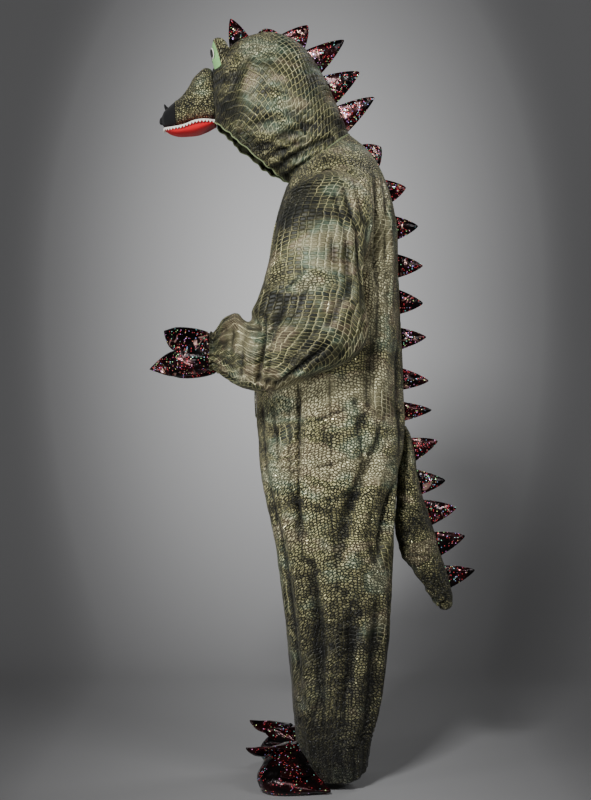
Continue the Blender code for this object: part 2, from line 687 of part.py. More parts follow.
def teeth():
    """One zigzag strip of felt round the upper jaw, from one corner of the mouth to the other."""
    jaw = [Vector((cut.top_x, cut.half_width + TOOTH_CLEAR + FELT, cut.top_z - SEAT_GAP)) for cut in MOUTH]
    jaw.append(Vector((MOUTH[-1].top_x - TOOTH_CLEAR - FELT, 0.0, MOUTH[-1].top_z - SEAT_GAP)))
    path = jaw + [mirrored(point, LEFT) for point in reversed(jaw[:-1])]
    lengths = [0.0]
    for a, b in zip(path, path[1:]):
        lengths.append(lengths[-1] + (b - a).length)
    count = 2 * round(lengths[-1] / TOOTH_PITCH / 2)
    places = [lengths[-1] * k / (2 * count) for k in range(2 * count + 1)]
    line = [smooth(lengths, path, place) for place in places]
    outer, inner = [], []
    for share in (0.0, 1.0):
        row_out, row_in = [], []
        for k, point in enumerate(line):
            ahead, behind = line[min(k + 1, len(line) - 1)], line[max(k - 1, 0)]
            outward = (ahead - behind).cross(Vector((0, 0, 1))).normalized()
            outward = outward if outward.dot(point - Vector((-0.32, 0, point.z))) >= 0 else -outward
            reach = share * (TOOTH_LENGTH if k % 2 else TOOTH_LENGTH * 0.3)
            low = point - Vector((0, 0, reach))
            row_out.append(low)
            row_in.append(low - outward * FELT)
        outer.append(row_out)
        inner.append(row_in)
    return wall("teeth", outer, inner, "white_felt")


def tail_ring(cut, count=20):
    """Ring of the tail, its upper front edge sewn down the centre back seam."""
    front, back = Vector((cut.top_x, 0, cut.top_z)), Vector((cut.low_x, 0, cut.low_z))
    if cut.top_z > -TAIL_SEWN:
        line = body_back_line()
        i = max(k for k in range(len(line) - 1) if line[k].z >= front.z)
        share = (line[i].z - front.z) / (line[i].z - line[i + 1].z)
        front.x = line[i].lerp(line[i + 1], share).x + SEAT_GAP
    middle = (front + back) / 2
    points = []
    for k in range(count):
        turn = math.tau * k / count
        point = middle + (back - middle) * math.cos(turn)
        point.y = cut.half_width * power(math.sin(turn), 0.9)
        points.append(point)
    return points


def body_back_line():
    """Centre back seam as points, from the neck to the seat."""
    return [body_wall(180 - inner_angle(level), level)[0] for level in body_levels() if level < 1.9]


def tail_back_line():
    return [Vector((cut.low_x, 0, cut.low_z)) for cut in TAIL]


def hood_line():
    return [hood_wall(0, k / HOOD_ROWS)[0] for k in range(HOOD_ROWS + 1)]


def base_on(line, start, end, out):
    """Part of a seam line between two places, moved out; the places are points whose nearest along the line is taken."""
    lengths = [0.0]
    for a, b in zip(line, line[1:]):
        lengths.append(lengths[-1] + (b - a).length)

    def nearest(point):
        samples = [lengths[-1] * k / 600 for k in range(601)]
        return min(samples, key=lambda place: (polyline(line, lengths, place) - point).length)

    low, high = nearest(start), nearest(end)
    corners = [place for place in lengths if low + 0.003 < place < high - 0.003]
    places = [low, *corners, high]
    while len(places) < 5:
        widest = max(range(len(places) - 1), key=lambda k: places[k + 1] - places[k])
        places.insert(widest + 1, (places[widest] + places[widest + 1]) / 2)
    points = []
    for place in places:
        ahead = polyline(line, lengths, place + 0.002)
        behind = polyline(line, lengths, place - 0.002)
        along = (ahead - behind).normalized()
        outward = Vector((-along.z, 0, along.x))
        points.append(polyline(line, lengths, place) + outward * out)
    return points


def polyline(line, lengths, place):
    place = min(max(place, 0.0), lengths[-1])
    i = max(k for k in range(len(lengths) - 1) if lengths[k] <= place)
    return line[i].lerp(line[i + 1], (place - lengths[i]) / (lengths[i + 1] - lengths[i]))


def spike(name, line, row, by_height):
    """Padded two-layer spike with its base on a seam line; a lean bends it over towards its right side."""
    if by_height:
        start = min(line, key=lambda p: abs(p.z - row.base_z0))
        start = Vector((start.x, 0, row.base_z0))
        end = min(line, key=lambda p: abs(p.z - row.base_z1))
        end = Vector((end.x, 0, row.base_z1))
    else:
        start, end = Vector((row.base_x0, 0, row.base_z0)), Vector((row.base_x1, 0, row.base_z1))
    base = base_on(line, start, end, SEAT_GAP)
    middle = (base[0] + base[-1]) / 2
    chord = (base[-1] - base[0]).normalized()
    reach = Vector((row.tip_x, 0, row.tip_z)) - middle
    upright = reach - chord * reach.dot(chord)
    height = upright.length * 1.05
    outward = upright.normalized()
    place, turned = middle.copy(), 0.0
    right, left = [], []
    for share in SPIKE_ROWS:
        while turned < share - 1e-6:
            bend = math.radians(row.lean) * ease(turned * 4.5)
            place += (outward * math.cos(bend) + Vector((0, math.sin(bend), 0))) * height * SPIKE_STEP
            turned += SPIKE_STEP
        bend = math.radians(row.lean) * ease(share * 4.5)
        across = Vector((0, math.cos(bend), 0)) - outward * math.sin(bend)
        centre = place + chord * reach.dot(chord) * share
        width = 1.0 if share == 0 else (1 - share) ** 0.86 + 0.02
        row_right, row_left = [], []
        for k, point in enumerate(base):
            crossing = 2 * k / (len(base) - 1) - 1
            spot = centre + (point - middle) * width
            puff = SPIKE_THICKNESS * (1 - crossing * crossing) * math.sin(math.pi * (0.12 + 0.88 * share))
            half = SPIKE_EDGE / 2 + puff / 2
            row_right.append(spot + across * half)
            row_left.append(spot - across * half)
        right.append(row_right)
        left.append(row_left)
    return wall(name, right, left, "sparkle_cloth")


def all_spikes():
    groups = (
        ("hood_spike", hood_line(), HOOD_SPIKES, False),
        ("back_spike", body_back_line(), BACK_SPIKES, True),
        ("tail_spike", tail_back_line(), TAIL_SPIKES, True),
    )
    for name, line, rows, by_height in groups:
        for number, row in enumerate(rows, 1):
            spike(f"{name}_{number}", line, row, by_height)


def half_of(name, full, plane_point, plane_normal, material, side):
    """The part of a mound ahead of a plane, with the cut closed."""
    mesh = bmesh.new()
    loops = [[mesh.verts.new(mirrored(p, side)) for p in ring] for ring in full]
    count = len(loops[0])
    for near, far in zip(loops, loops[1:]):
        for j in range(count):
            mesh.faces.new((near[j], near[(j + 1) % count], far[(j + 1) % count], far[j]))
    mesh.faces.new(loops[0])
    mesh.faces.new(loops[-1])
    geometry = mesh.verts[:] + mesh.edges[:] + mesh.faces[:]
    point, normal = mirrored(plane_point, side), mirrored(plane_normal, side)
    bmesh.ops.bisect_plane(mesh, geom=geometry, plane_co=point, plane_no=normal, clear_inner=True)
    bmesh.ops.holes_fill(mesh, edges=[edge for edge in mesh.edges if edge.is_boundary])
    bmesh.ops.triangulate(mesh, faces=[face for face in mesh.faces if len(face.verts) > 4])
    return add_object(name, mesh, material)


def disc(name, centre, normal, radius, thickness, material, side):
    across = normal.cross(Vector((0, 0, 1))).normalized()
    up = across.cross(normal).normalized()
    rings = []
    for share in (0, 1):
        rim = radius * (1 - 0.08 * share)
        turns = [math.tau * k / 16 for k in range(16)]
        middle = centre + normal * thickness * share
        rings.append([middle + across * rim * math.cos(t) + up * rim * math.sin(t) for t in turns])
    return stuffed(name, rings, material, side)


def eye_floor(across, share):
    turn = math.tau * across
    place = (
        EYE_PLACE[0] + EYE_SPAN[0] * math.cos(turn) * share,
        EYE_PLACE[1] + EYE_SPAN[1] * math.sin(turn) * share,
    )
    return hood_wall(*place, SEAT_GAP)[0]


def eye_mound(across, along):
    """Dome over an oval of the brow: across runs round it, along from its base on the hood to its top."""
    width = math.sqrt(max(0.0, 1 - along * along))
    base = eye_floor(across, 1.0)
    top = hood_wall(*EYE_PLACE, SEAT_GAP)[0] + EYE_AXIS.normalized() * EYE_HEIGHT
    centre = hood_wall(*EYE_PLACE, SEAT_GAP)[0]
    return centre + (top - centre) * along + (base - centre) * width


def eyes():
    count = 18
    floor = [[eye_floor(k / count, share) for k in range(count)] for share in (0.25, 0.65)]
    dome = [[eye_mound(k / count, along) for k in range(count)] for along in (0.0, 0.25, 0.5, 0.75, 0.93)]
    rings = floor + dome
    points = [p for ring in rings for p in ring]
    parting, gaze = EYE_PARTING.normalized(), GAZE.normalized()
    reach = [p.dot(parting) for p in points]
    plane = parting * (max(reach) - EYEBALL_SHARE * (max(reach) - min(reach)))
    ahead = max(points, key=lambda p: p.dot(gaze))
    middle = hood_wall(*EYE_PLACE, SEAT_GAP)[0] + EYE_AXIS.normalized() * EYE_HEIGHT * 0.35
    seat = middle + gaze * ((ahead - middle).dot(gaze) + SEAM_GAP)
    for name, side in SIDES.items():
        half_of(f"eyeball_{name}", rings, plane + parting * SEAM_GAP / 2, parting, "green_felt", side)
        half_of(f"eyelid_{name}", rings, plane - parting * SEAM_GAP / 2, -parting, "scale_velour", side)
        disc(f"eye_white_{name}", seat, gaze, EYE_WHITE_RADIUS, FELT, "white_felt", side)
        pupil_seat = seat + gaze * (FELT + SEAM_GAP)
        disc(f"pupil_{name}", pupil_seat, gaze, PUPIL_RADIUS, FELT, "black_felt", side)


def edge_of_flap(edge):
    points = [Vector((x, y, z)) for x, z, y in edge]
    return lambda share: smooth([k / (len(points) - 1) for k in range(len(points))], points, share)


def hand_flap(name, side):
    """Padded flap over the back of the hand, sewn to the wrist, its free end cut into two claws."""
    upper, lower = edge_of_flap(FLAP_UPPER_EDGE), edge_of_flap(FLAP_LOWER_EDGE)
    wrist = sleeve_ring(SLEEVE[-1], 2 * ARMHOLE_STEPS)
    columns, rows = 10, 7
    outer, inner = [], []
    for i in range(rows + 1):
        along = i / rows
        row_out, row_in = [], []
        for j in range(columns + 1):
            across = j / columns
            turn = math.pi * (0.5 - across)
            cuff = smooth(list(range(len(wrist))), wrist, (across * 0.86 + 0.07) * ARMHOLE_STEPS)
            cuff = cuff + Vector((-SEAT_GAP, 0, 0))
            straight = upper(along).lerp(lower(along), across)
            dip = max(0.0, 1 - abs(across - 0.5) / 0.5)
            end = upper(1).lerp(lower(1), across)
            straight += (FLAP_NOTCH - end) * dip * along**3
            straight.y += FLAP_BULGE * math.cos(turn) * (1 - 0.55 * along)
            point = cuff.lerp(straight, ease(along * 1.4))
            rim = min(across, 1 - across, 1 - along) * 5
            half = CLOTH / 2 + (FLAP_PADDING - CLOTH) / 2 * ease(rim) * ease(along * 4)
            row_out.append(point + Vector((0, half, 0)))
            row_in.append(point - Vector((0, half, 0)))
        outer.append(row_out)
        inner.append(row_in)
    return wall(name, outer, inner, "sparkle_cloth", side)


def hem_point(across):
    """Place on the leg's hem, on the straight run between two of the panel's corners."""
    place = across * HEM_STEPS
    step = min(int(place), HEM_STEPS - 1)
    corners = [body_wall(FOOT_HEM_ANGLE * (2 * k / HEM_STEPS - 1), 3.0)[0] for k in (step, step + 1)]
    return corners[0].lerp(corners[1], place - step)


def foot_point(across, along):
    """Foot cover from the leg's hem (along 0) to the floor line round the toes (along 1), inner side to outer side."""
    hem = hem_point(across)
    ahead = Vector((-math.cos(TOE_OUT), math.sin(TOE_OUT), 0))
    beside = Vector((math.sin(TOE_OUT), math.cos(TOE_OUT), 0))
    turn = math.radians(84) * (2 * across - 1)
    toe = FOOT_CENTRE + ahead * FOOT_LENGTH * power(math.cos(turn), 0.75)
    toe += beside * FOOT_HALF_WIDTH * power(math.sin(turn), 0.8)
    toe.z = -FLOOR
    outward = (ahead * math.cos(turn) + beside * math.sin(turn)) * TOE_BULGE
    drop = hem.z + FLOOR
    forward = (toe - hem).xy.length
    start = hem + ahead * forward * 0.55 - Vector((0, 0, 0.12 * drop))
    above = toe + outward + Vector((0, 0, 0.45 * drop))
    return bezier(hem, start, above, toe, along)


def foot_wall(across, along, out=0.0):
    """Outer and inner point of the cover, which starts just below the leg's hem."""
    point = foot_point(across, along) - Vector((0, 0, SEAM_GAP * 2))
    inside = Vector((-0.055, 0.125, -FLOOR + 0.02))
    normal = normal_of(foot_point, across, min(max(along, 0.02), 0.98), 0.01, 0.01, inside)
    return point + normal * out, point + normal * (out - CLOTH)


def foot_cover(name, side):
    places = [[(j / FOOT_COLUMNS, i / FOOT_ROWS) for j in range(FOOT_COLUMNS + 1)] for i in range(FOOT_ROWS + 1)]
    pairs = [[foot_wall(*place) for place in row] for row in places]
    outer = [[pair[0] for pair in row] for row in pairs]
    inner = [[pair[1] for pair in row] for row in pairs]
    return wall(name, outer, inner, "sparkle_cloth", side)


def foot_claw(name, side, claw):
    """Padded claw laid on the foot cover from the instep, its free end lifting off to a point ahead of the toes."""
    rows, columns = 6, 6
    tip = Vector((claw.tip_x, claw.tip_y, claw.tip_z))
    root = foot_wall(claw.across, claw.along0)[0]
    outer, inner = [], []
    for i in range(rows + 1):
        share = i / rows
        along = claw.along0 + (claw.along1 - claw.along0) * share
        width = claw.half_across * ((1 - share) ** 0.8 * (1 + 0.5 * share) + 0.02)
        row_out, row_in = [], []
        for j in range(columns + 1):
            crossing = 2 * j / columns - 1
            place = claw.across + width * crossing
            under = foot_wall(place, along, CLAW_GAP)[0]
            outward = (foot_wall(place, along, CLAW_GAP + 0.001)[0] - under).normalized()
            centre = foot_wall(claw.across, along, CLAW_GAP)[0]
            shift = (tip - centre) * share**claw.lift
            forward = (tip - root).normalized()
            upright = Vector((0, 0, 1)) - forward * forward.z
            outward = outward.lerp(upright.normalized(), share).normalized()
            puff = (1 - crossing * crossing) * math.sin(math.pi * (0.15 + 0.80 * share))
            row_in.append(under + shift)
            row_out.append(under + shift + outward * (SPIKE_EDGE + CLAW_PADDING * puff))
        outer.append(row_out)
        inner.append(row_in)
    return wall(name, outer, inner, "sparkle_cloth", side)


def main():
    for old in list(bpy.data.objects):
        bpy.data.objects.remove(old, do_unlink=True)
    costume = bpy.data.collections.new("dinosaur_costume")
    bpy.context.scene.collection.children.link(costume)
    make_materials()
    for name, side in SIDES.items():
        body_panel(f"front_{name}", side, back=False)
        body_panel(f"back_{name}", side, back=True)
        sleeve(f"sleeve_{name}", side)
        hood_half(f"hood_{name}", side)
        hand_flap(f"hand_flap_{name}", side)
        foot_cover(f"foot_cover_{name}", side)
        for number, claw in enumerate(FOOT_CLAWS, 1):
            foot_claw(f"foot_claw_{name}_{number}", side, claw)
    front_placket()
    snout_and_nose()
    teeth()
    eyes()
    stuffed("tail", [tail_ring(cut) for cut in TAIL], "scale_velour")
    all_spikes()


main()
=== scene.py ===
"""Dinosaur costume: a hooded jumpsuit of scale-embossed foil velour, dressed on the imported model's frame."""

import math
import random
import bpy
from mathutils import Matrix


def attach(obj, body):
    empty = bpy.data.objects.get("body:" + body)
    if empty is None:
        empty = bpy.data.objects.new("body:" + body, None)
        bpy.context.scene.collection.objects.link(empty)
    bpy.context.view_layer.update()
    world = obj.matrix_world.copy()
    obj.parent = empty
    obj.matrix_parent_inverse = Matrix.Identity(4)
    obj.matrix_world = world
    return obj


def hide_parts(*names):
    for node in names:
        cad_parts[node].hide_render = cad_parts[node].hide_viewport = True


bl_info = {
    "name": "Dinosaur Costume",
    "version": (1, 0, 0),
    "blender": (4, 5, 0),
    "location": "View3D > Sidebar > Costume",
    "description": "Sews a hooded dinosaur jumpsuit round the shapes of its packed model",
    "category": "Add Mesh",
}

from collections import namedtuple

import bmesh
import bpy
import numpy as np
from mathutils import Vector, noise

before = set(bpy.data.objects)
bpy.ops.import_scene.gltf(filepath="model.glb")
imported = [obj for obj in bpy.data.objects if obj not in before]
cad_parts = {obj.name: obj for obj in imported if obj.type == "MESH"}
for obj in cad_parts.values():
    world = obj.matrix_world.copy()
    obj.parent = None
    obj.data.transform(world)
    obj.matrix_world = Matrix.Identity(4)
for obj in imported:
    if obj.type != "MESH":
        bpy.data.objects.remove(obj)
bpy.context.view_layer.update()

# Driving dimensions
CLOTH = 0.002
SEAM_GAP = 0.0003
SEAT_GAP = 0.0006
FLOOR = 1.42
ROUNDNESS = 2.25
LEFT, RIGHT = -1, 1
SIDES = {"left": LEFT, "right": RIGHT}

# Neckline, where hood and body meet
NECK_BACK = Vector((0.0322, 0, 0.0575))
NECK_FRONT = Vector((-0.1035, 0, -0.0529))
NECK_HALF_WIDTH = 0.085

# Heights below the shoulders
UNDERARM = 0.27
CROTCH_TOP = 0.58
CROTCH = 0.73
ANKLE = 1.25
INSTEP_HEM = 1.318
SIDE_HEM = 1.402
HEEL_HEM = 1.374

# Body and legs: side outline from the front, half widths from the plane of symmetry
Section = namedtuple("Section", "drop front back outer inner")
BODY = [
    Section(0.270, -0.150, 0.145, 0.190, 0.0006),
    Section(0.414, -0.172, 0.150, 0.192, 0.0006),
    Section(0.536, -0.182, 0.152, 0.195, 0.0006),
    Section(0.621, -0.177, 0.153, 0.200, 0.0006),
    Section(0.730, -0.166, 0.137, 0.203, 0.0010),
    Section(0.776, -0.157, 0.129, 0.203, 0.0030),
    Section(0.888, -0.134, 0.128, 0.199, 0.0070),
    Section(1.009, -0.117, 0.123, 0.193, 0.0110),
    Section(1.134, -0.103, 0.113, 0.186, 0.0160),
    Section(1.260, -0.094, 0.094, 0.177, 0.0240),
    Section(1.323, -0.088, 0.076, 0.163, 0.0380),
    Section(1.410, -0.070, 0.067, 0.152, 0.0460),
]

# Long soft folds; the angle is 0 at the front, 90 at the side, 180 at the back, -90 and 270 inside the leg
Fold = namedtuple("Fold", "angle top bottom half_width depth lean")
BODY_FOLDS = [
    Fold(106, 0.63, 0.94, 9, 0.021, -42),
    Fold(61, 0.49, 0.90, 8, 0.014, -13),
    Fold(147, 0.73, 0.92, 9, 0.016, -36),
    Fold(69, 0.86, 1.30, 9, 0.016, 4),
    Fold(101, 0.96, 1.37, 9, 0.013, -10),
    Fold(136, 0.96, 1.35, 10, 0.016, 8),
    Fold(28, 0.62, 1.24, 9, 0.011, 12),
    Fold(-38, 0.86, 1.32, 11, 0.013, 8),
    Fold(-72, 0.80, 1.20, 10, 0.010, -8),
    Fold(216, 0.84, 1.36, 11, 0.014, -6),
    Fold(133, 0.05, 0.30, 8, 0.015, -14),
    Fold(36, 0.16, 0.54, 9, 0.011, 8),
    Fold(161, 0.40, 0.70, 8, 0.011, 10),
    Fold(121, 0.34, 0.62, 8, 0.010, -14),
]

PANEL_COLUMNS = 10

# Sleeve rings from the shoulder cap to the wrist: front and back edges, then inner and outer edges
Ring = namedtuple("Ring", "front_x front_z back_x back_z inner_y inner_z outer_y outer_z")
SLEEVE = [
    Ring(-0.118, -0.138, 0.078, -0.140, 0.2080, -0.284, 0.236, -0.072),
    Ring(-0.136, -0.208, 0.057, -0.222, 0.2040, -0.325, 0.278, -0.138),
    Ring(-0.154, -0.282, 0.056, -0.300, 0.2050, -0.362, 0.302, -0.222),
    Ring(-0.168, -0.326, 0.060, -0.362, 0.2060, -0.396, 0.314, -0.300),
    Ring(-0.179, -0.352, 0.062, -0.424, 0.2060, -0.424, 0.321, -0.352),
    Ring(-0.184, -0.363, 0.012, -0.474, 0.2040, -0.440, 0.325, -0.396),
    Ring(-0.187, -0.369, -0.055, -0.503, 0.1990, -0.447, 0.324, -0.425),
    Ring(-0.192, -0.373, -0.108, -0.522, 0.1920, -0.452, 0.318, -0.443),
    Ring(-0.201, -0.372, -0.152, -0.531, 0.1830, -0.452, 0.307, -0.450),
    Ring(-0.218, -0.366, -0.190, -0.530, 0.1720, -0.448, 0.291, -0.449),
    Ring(-0.237, -0.367, -0.222, -0.518, 0.1600, -0.441, 0.270, -0.442),
    Ring(-0.254, -0.381, -0.247, -0.501, 0.1520, -0.438, 0.246, -0.439),
    Ring(-0.270, -0.407, -0.269, -0.482, 0.1500, -0.444, 0.222, -0.446),
    Ring(-0.279, -0.404, -0.280, -0.486, 0.1460, -0.445, 0.224, -0.446),
]
SLEEVE_ROUNDNESS = 0.88
ARMHOLE_TOP = 0.46
ARMHOLE_HALF_ANGLE = 34.0
ARMHOLE_STEPS = 9

# Hood: crown from the snout seam back to the neck, and the edge of the face opening below it
Crown = namedtuple("Crown", "place x z half_width")
CROWN = [
    Crown(0.00, -0.2806, 0.2070, 0.060),
    Crown(0.09, -0.2599, 0.2369, 0.076),
    Crown(0.17, -0.2380, 0.2610, 0.086),
    Crown(0.28, -0.1955, 0.2852, 0.099),
    Crown(0.38, -0.1495, 0.2921, 0.110),
    Crown(0.49, -0.1035, 0.2806, 0.118),
    Crown(0.58, -0.0690, 0.2553, 0.121),
    Crown(0.74, -0.0299, 0.1978, 0.117),
    Crown(0.88, 0.0046, 0.1265, 0.102),
    Crown(1.00, 0.0322, 0.0575, 0.085),
]
FaceEdge = namedtuple("FaceEdge", "place x z y")
FACE_EDGE = [
    FaceEdge(0.00, -0.2737, 0.0805, 0.046),
    FaceEdge(0.20, -0.2461, 0.0575, 0.066),
    FaceEdge(0.42, -0.2185, 0.0310, 0.076),
    FaceEdge(0.66, -0.1665, -0.0120, 0.066),
    FaceEdge(0.84, -0.1370, -0.0350, 0.038),
    FaceEdge(1.00, -0.1035, -0.0529, 0.000),
]
HOOD_FOLDS = [
    Fold(0.86, 0.42, 1.00, 0.055, 0.008, -0.30),
    Fold(0.72, 0.46, 1.00, 0.050, 0.010, -0.26),
    Fold(0.58, 0.50, 1.00, 0.045, 0.007, -0.22),
]

HOOD_ROWS, HOOD_COLUMNS = 17, 12

# Snout, stuffed: upper and lower outline and half width, from the hood to the nose
Slice = namedtuple("Slice", "top_x top_z low_x low_z half_width")
SNOUT = [
    Slice(-0.2812, 0.2066, -0.2748, 0.0880, 0.059),
    Slice(-0.2990, 0.2108, -0.2910, 0.0890, 0.059),
    Slice(-0.3174, 0.1960, -0.3100, 0.0890, 0.056),
    Slice(-0.3363, 0.1660, -0.3310, 0.0845, 0.051),
    Slice(-0.3547, 0.1440, -0.3510, 0.0765, 0.047),
    Slice(-0.3660, 0.1345, -0.3630, 0.0748, 0.045),
]
NOSE = [
    Slice(-0.3664, 0.1341, -0.3634, 0.0746, 0.0445),
    Slice(-0.3800, 0.1215, -0.3780, 0.0735, 0.039),
    Slice(-0.3920, 0.1110, -0.3900, 0.0745, 0.030),
    Slice(-0.3985, 0.0980, -0.3975, 0.0815, 0.017),
]
MOUTH = [
    Slice(-0.2740, 0.0872, -0.2732, 0.0780, 0.040),
    Slice(-0.2990, 0.0878, -0.2990, 0.0645, 0.049),
    Slice(-0.3210, 0.0850, -0.3210, 0.0572, 0.047),
    Slice(-0.3450, 0.0765, -0.3450, 0.0550, 0.042),
    Slice(-0.3640, 0.0734, -0.3640, 0.0555, 0.036),
    Slice(-0.3790, 0.0722, -0.3790, 0.0600, 0.028),
    Slice(-0.3900, 0.0725, -0.3900, 0.0670, 0.015),
]
NOSTRIL_SEAT = Vector((-0.3860, 0.013, 0.1151))
NOSTRIL_FACING = Vector((-0.65, 0.15, 0.74)).normalized()
TOOTH_PITCH = 0.0078
TOOTH_CLEAR = 0.0026
TOOTH_LENGTH = 0.0068
FELT = 0.0014

TAIL_SEWN = 0.63

# Tail, stuffed: front and back outline seen from the side
TAIL = [
    Slice(0.1520, -0.6060, 0.1640, -0.6130, 0.006),
    Slice(0.1560, -0.6300, 0.1745, -0.6370, 0.018),
    Slice(0.1545, -0.6780, 0.1850, -0.6830, 0.043),
    Slice(0.1500, -0.7200, 0.1905, -0.7240, 0.052),
    Slice(0.1440, -0.7650, 0.2005, -0.7700, 0.055),
    Slice(0.1390, -0.8150, 0.2160, -0.8180, 0.056),
    Slice(0.1380, -0.8620, 0.2300, -0.8580, 0.054),
    Slice(0.1480, -0.9000, 0.2410, -0.8970, 0.050),
    Slice(0.1690, -0.9354, 0.2500, -0.9280, 0.045),
    Slice(0.2040, -0.9812, 0.2610, -0.9660, 0.037),
    Slice(0.2240, -1.0100, 0.2700, -0.9960, 0.028),
    Slice(0.2400, -1.0270, 0.2690, -1.0160, 0.016),
]

# Spikes: two ends of the base, then the tip, seen from the side; lean tips a spike over to one side
Spike = namedtuple("Spike", "base_x0 base_z0 base_x1 base_z1 tip_x tip_z lean")
HOOD_SPIKES = [
    Spike(-0.2424, 0.2553, -0.1967, 0.2820, -0.2394, 0.3232, 0),
    Spike(-0.1770, 0.2890, -0.1310, 0.2905, -0.1560, 0.3480, 84),
    Spike(-0.1265, 0.2890, -0.0690, 0.2560, -0.0640, 0.3080, 0),
    Spike(-0.0670, 0.2530, -0.0310, 0.1990, 0.0177, 0.2744, 0),
    Spike(-0.0275, 0.1930, 0.0025, 0.1300, 0.0529, 0.2001, 0),
    Spike(0.0060, 0.1240, 0.0300, 0.0640, 0.0874, 0.1428, 0),
]
BACK_SPIKES = [
    Spike(0.0, 0.0347, 0.0, -0.0179, 0.1230, 0.0480, 50),
    Spike(0.0, -0.0440, 0.0, -0.0980, 0.1610, -0.0642, 0),
    Spike(0.0, -0.1281, 0.0, -0.1842, 0.1886, -0.1523, 0),
    Spike(0.0, -0.2160, 0.0, -0.2709, 0.1996, -0.2433, 0),
    Spike(0.0, -0.2974, 0.0, -0.3547, 0.1996, -0.3296, 0),
    Spike(0.0, -0.3855, 0.0, -0.4361, 0.2072, -0.4073, 0),
    Spike(0.0, -0.4777, 0.0, -0.5285, 0.2130, -0.5078, 0),
    Spike(0.0, -0.5560, 0.0, -0.6020, 0.2192, -0.5750, 0),
]
TAIL_SPIKES = [
    Spike(0.0, -0.6390, 0.0, -0.6920, 0.2339, -0.6468, 0),
    Spike(0.0, -0.7119, 0.0, -0.7682, 0.2514, -0.7376, 0),
    Spike(0.0, -0.7806, 0.0, -0.8386, 0.2760, -0.7999, 0),
    Spike(0.0, -0.8545, 0.0, -0.9092, 0.2962, -0.8650, 0),
    Spike(0.0, -0.9320, 0.0, -0.9830, 0.3190, -0.9437, 0),
]
SPIKE_THICKNESS = 0.011
SPIKE_EDGE = 0.0016

# Eye mounds on the hood's brow, with the plane that parts the felt eyeball from the cloth lid
EYE_PLACE = (0.22, 0.088)
EYE_SPAN = (0.12, 0.074)
EYE_HEIGHT = 0.047
EYE_AXIS = Vector((-0.36, 0.06, 1.0))
EYE_PARTING = Vector((-0.93, 0.20, -0.26))
EYEBALL_SHARE = 0.30
GAZE = Vector((-0.93, 0.28, -0.16))
EYE_WHITE_RADIUS = 0.0125
PUPIL_RADIUS = 0.0100

# Flap over the back of the hand, ending in two claws: corners seen from the side, with the distance out
FLAP_UPPER_EDGE = [
    (-0.284, -0.402, 0.190), (-0.315, -0.392, 0.186), (-0.352, -0.392, 0.172), (-0.382, -0.399, 0.150)
]
FLAP_LOWER_EDGE = [
    (-0.285, -0.487, 0.190), (-0.322, -0.501, 0.186), (-0.366, -0.499, 0.172), (-0.414, -0.484, 0.150)
]
FLAP_NOTCH = Vector((-0.350, 0.182, -0.4443))
FLAP_BULGE = 0.026
FLAP_PADDING = 0.009

# Foot cover: a dome from the leg's hem to the floor round the toes, with three padded claws
TOE_OUT = math.radians(30)
FOOT_CENTRE = Vector((-0.024, 0.106, 0))
FOOT_LENGTH = 0.146
FOOT_HALF_WIDTH = 0.050
HEM_STEPS = PANEL_COLUMNS - 2
FOOT_HEM_ANGLE = 90.0 - 180.0 / PANEL_COLUMNS
FOOT_ROWS, FOOT_COLUMNS = 7, 2 * HEM_STEPS
TOE_BULGE = 0.060
FootClaw = namedtuple("FootClaw", "across half_across along0 along1 tip_x tip_y tip_z lift")
FOOT_CLAWS = [
    FootClaw(0.30, 0.100, 0.12, 0.36, -0.163, 0.078, -1.329, 1.4),
    FootClaw(0.54, 0.125, 0.10, 0.46, -0.200, 0.172, -1.321, 1.8),
    FootClaw(0.79, 0.105, 0.16, 0.46, -0.122, 0.232, -1.372, 1.8),
]
CLAW_PADDING = 0.009
CLAW_GAP = 0.0009

PLACKET_HALF_WIDTH = 0.018
PLACKET_LEVELS = (0.07, 1.70)


# Finer rows and columns of the visible cloth
BODY_COLUMNS = 46
SLEEVE_COLUMNS = 88
HOOD_FINE = (84, 104)
SNOUT_FINE = (72, 56)
NOSE_FINE = (56, 24)
MOUTH_FINE = (56, 40)
FOOT_COVER_FINE = (49, 37)
FLAP_FINE = (53, 43)
CLAW_FINE = (30, 25)
TOOTH_ROWS = 6
TRIM_POINTS = 160
CROWN_POINTS = 300

# Paper sweep: width and depth of the floor, its shift forward, height of the wall and radius of the bend
PAPER_WIDTH = 12
PAPER_DEPTH = 9.8
PAPER_FORWARD = 2.1
PAPER_HEIGHT = 6.4
PAPER_BEND = 1.3


def srgb(text):
    """Linear colour of a hex value."""
    parts = [int(text[k:k + 2], 16) / 255 for k in (1, 3, 5)]
    return tuple(c / 12.92 if c <= 0.04045 else ((c + 0.055) / 1.055) ** 2.4 for c in parts)


def stack(x, y, z):
    return np.stack(np.broadcast_arrays(x, y, z), axis=-1).astype(float)


def smooth(knots, values, at):
    """Values at places between knots, on a smooth curve through all of them."""
    knots, values, at = np.asarray(knots, float), np.asarray(values, float), np.asarray(at, float)
    count = len(knots)
    low = np.maximum(np.arange(count) - 1, 0)
    high = np.minimum(np.arange(count) + 1, count - 1)
    run = knots[high] - knots[low]
    i = np.clip(np.searchsorted(knots, at, side="right") - 1, 0, count - 2)
    span = knots[i + 1] - knots[i]
    t = np.clip((at - knots[i]) / span, 0, 1)
    if values.ndim > 1:
        extra = (1,) * (values.ndim - 1)
        run, span, t = run.reshape(-1, *extra), span.reshape(*span.shape, *extra), t.reshape(*t.shape, *extra)
    slope = (values[high] - values[low]) / run
    start = values[i] * (1 + 2 * t) * (1 - t) ** 2 + slope[i] * span * t * (1 - t) ** 2
    end = values[i + 1] * t * t * (3 - 2 * t) + slope[i + 1] * span * t * t * (t - 1)
    return start + end


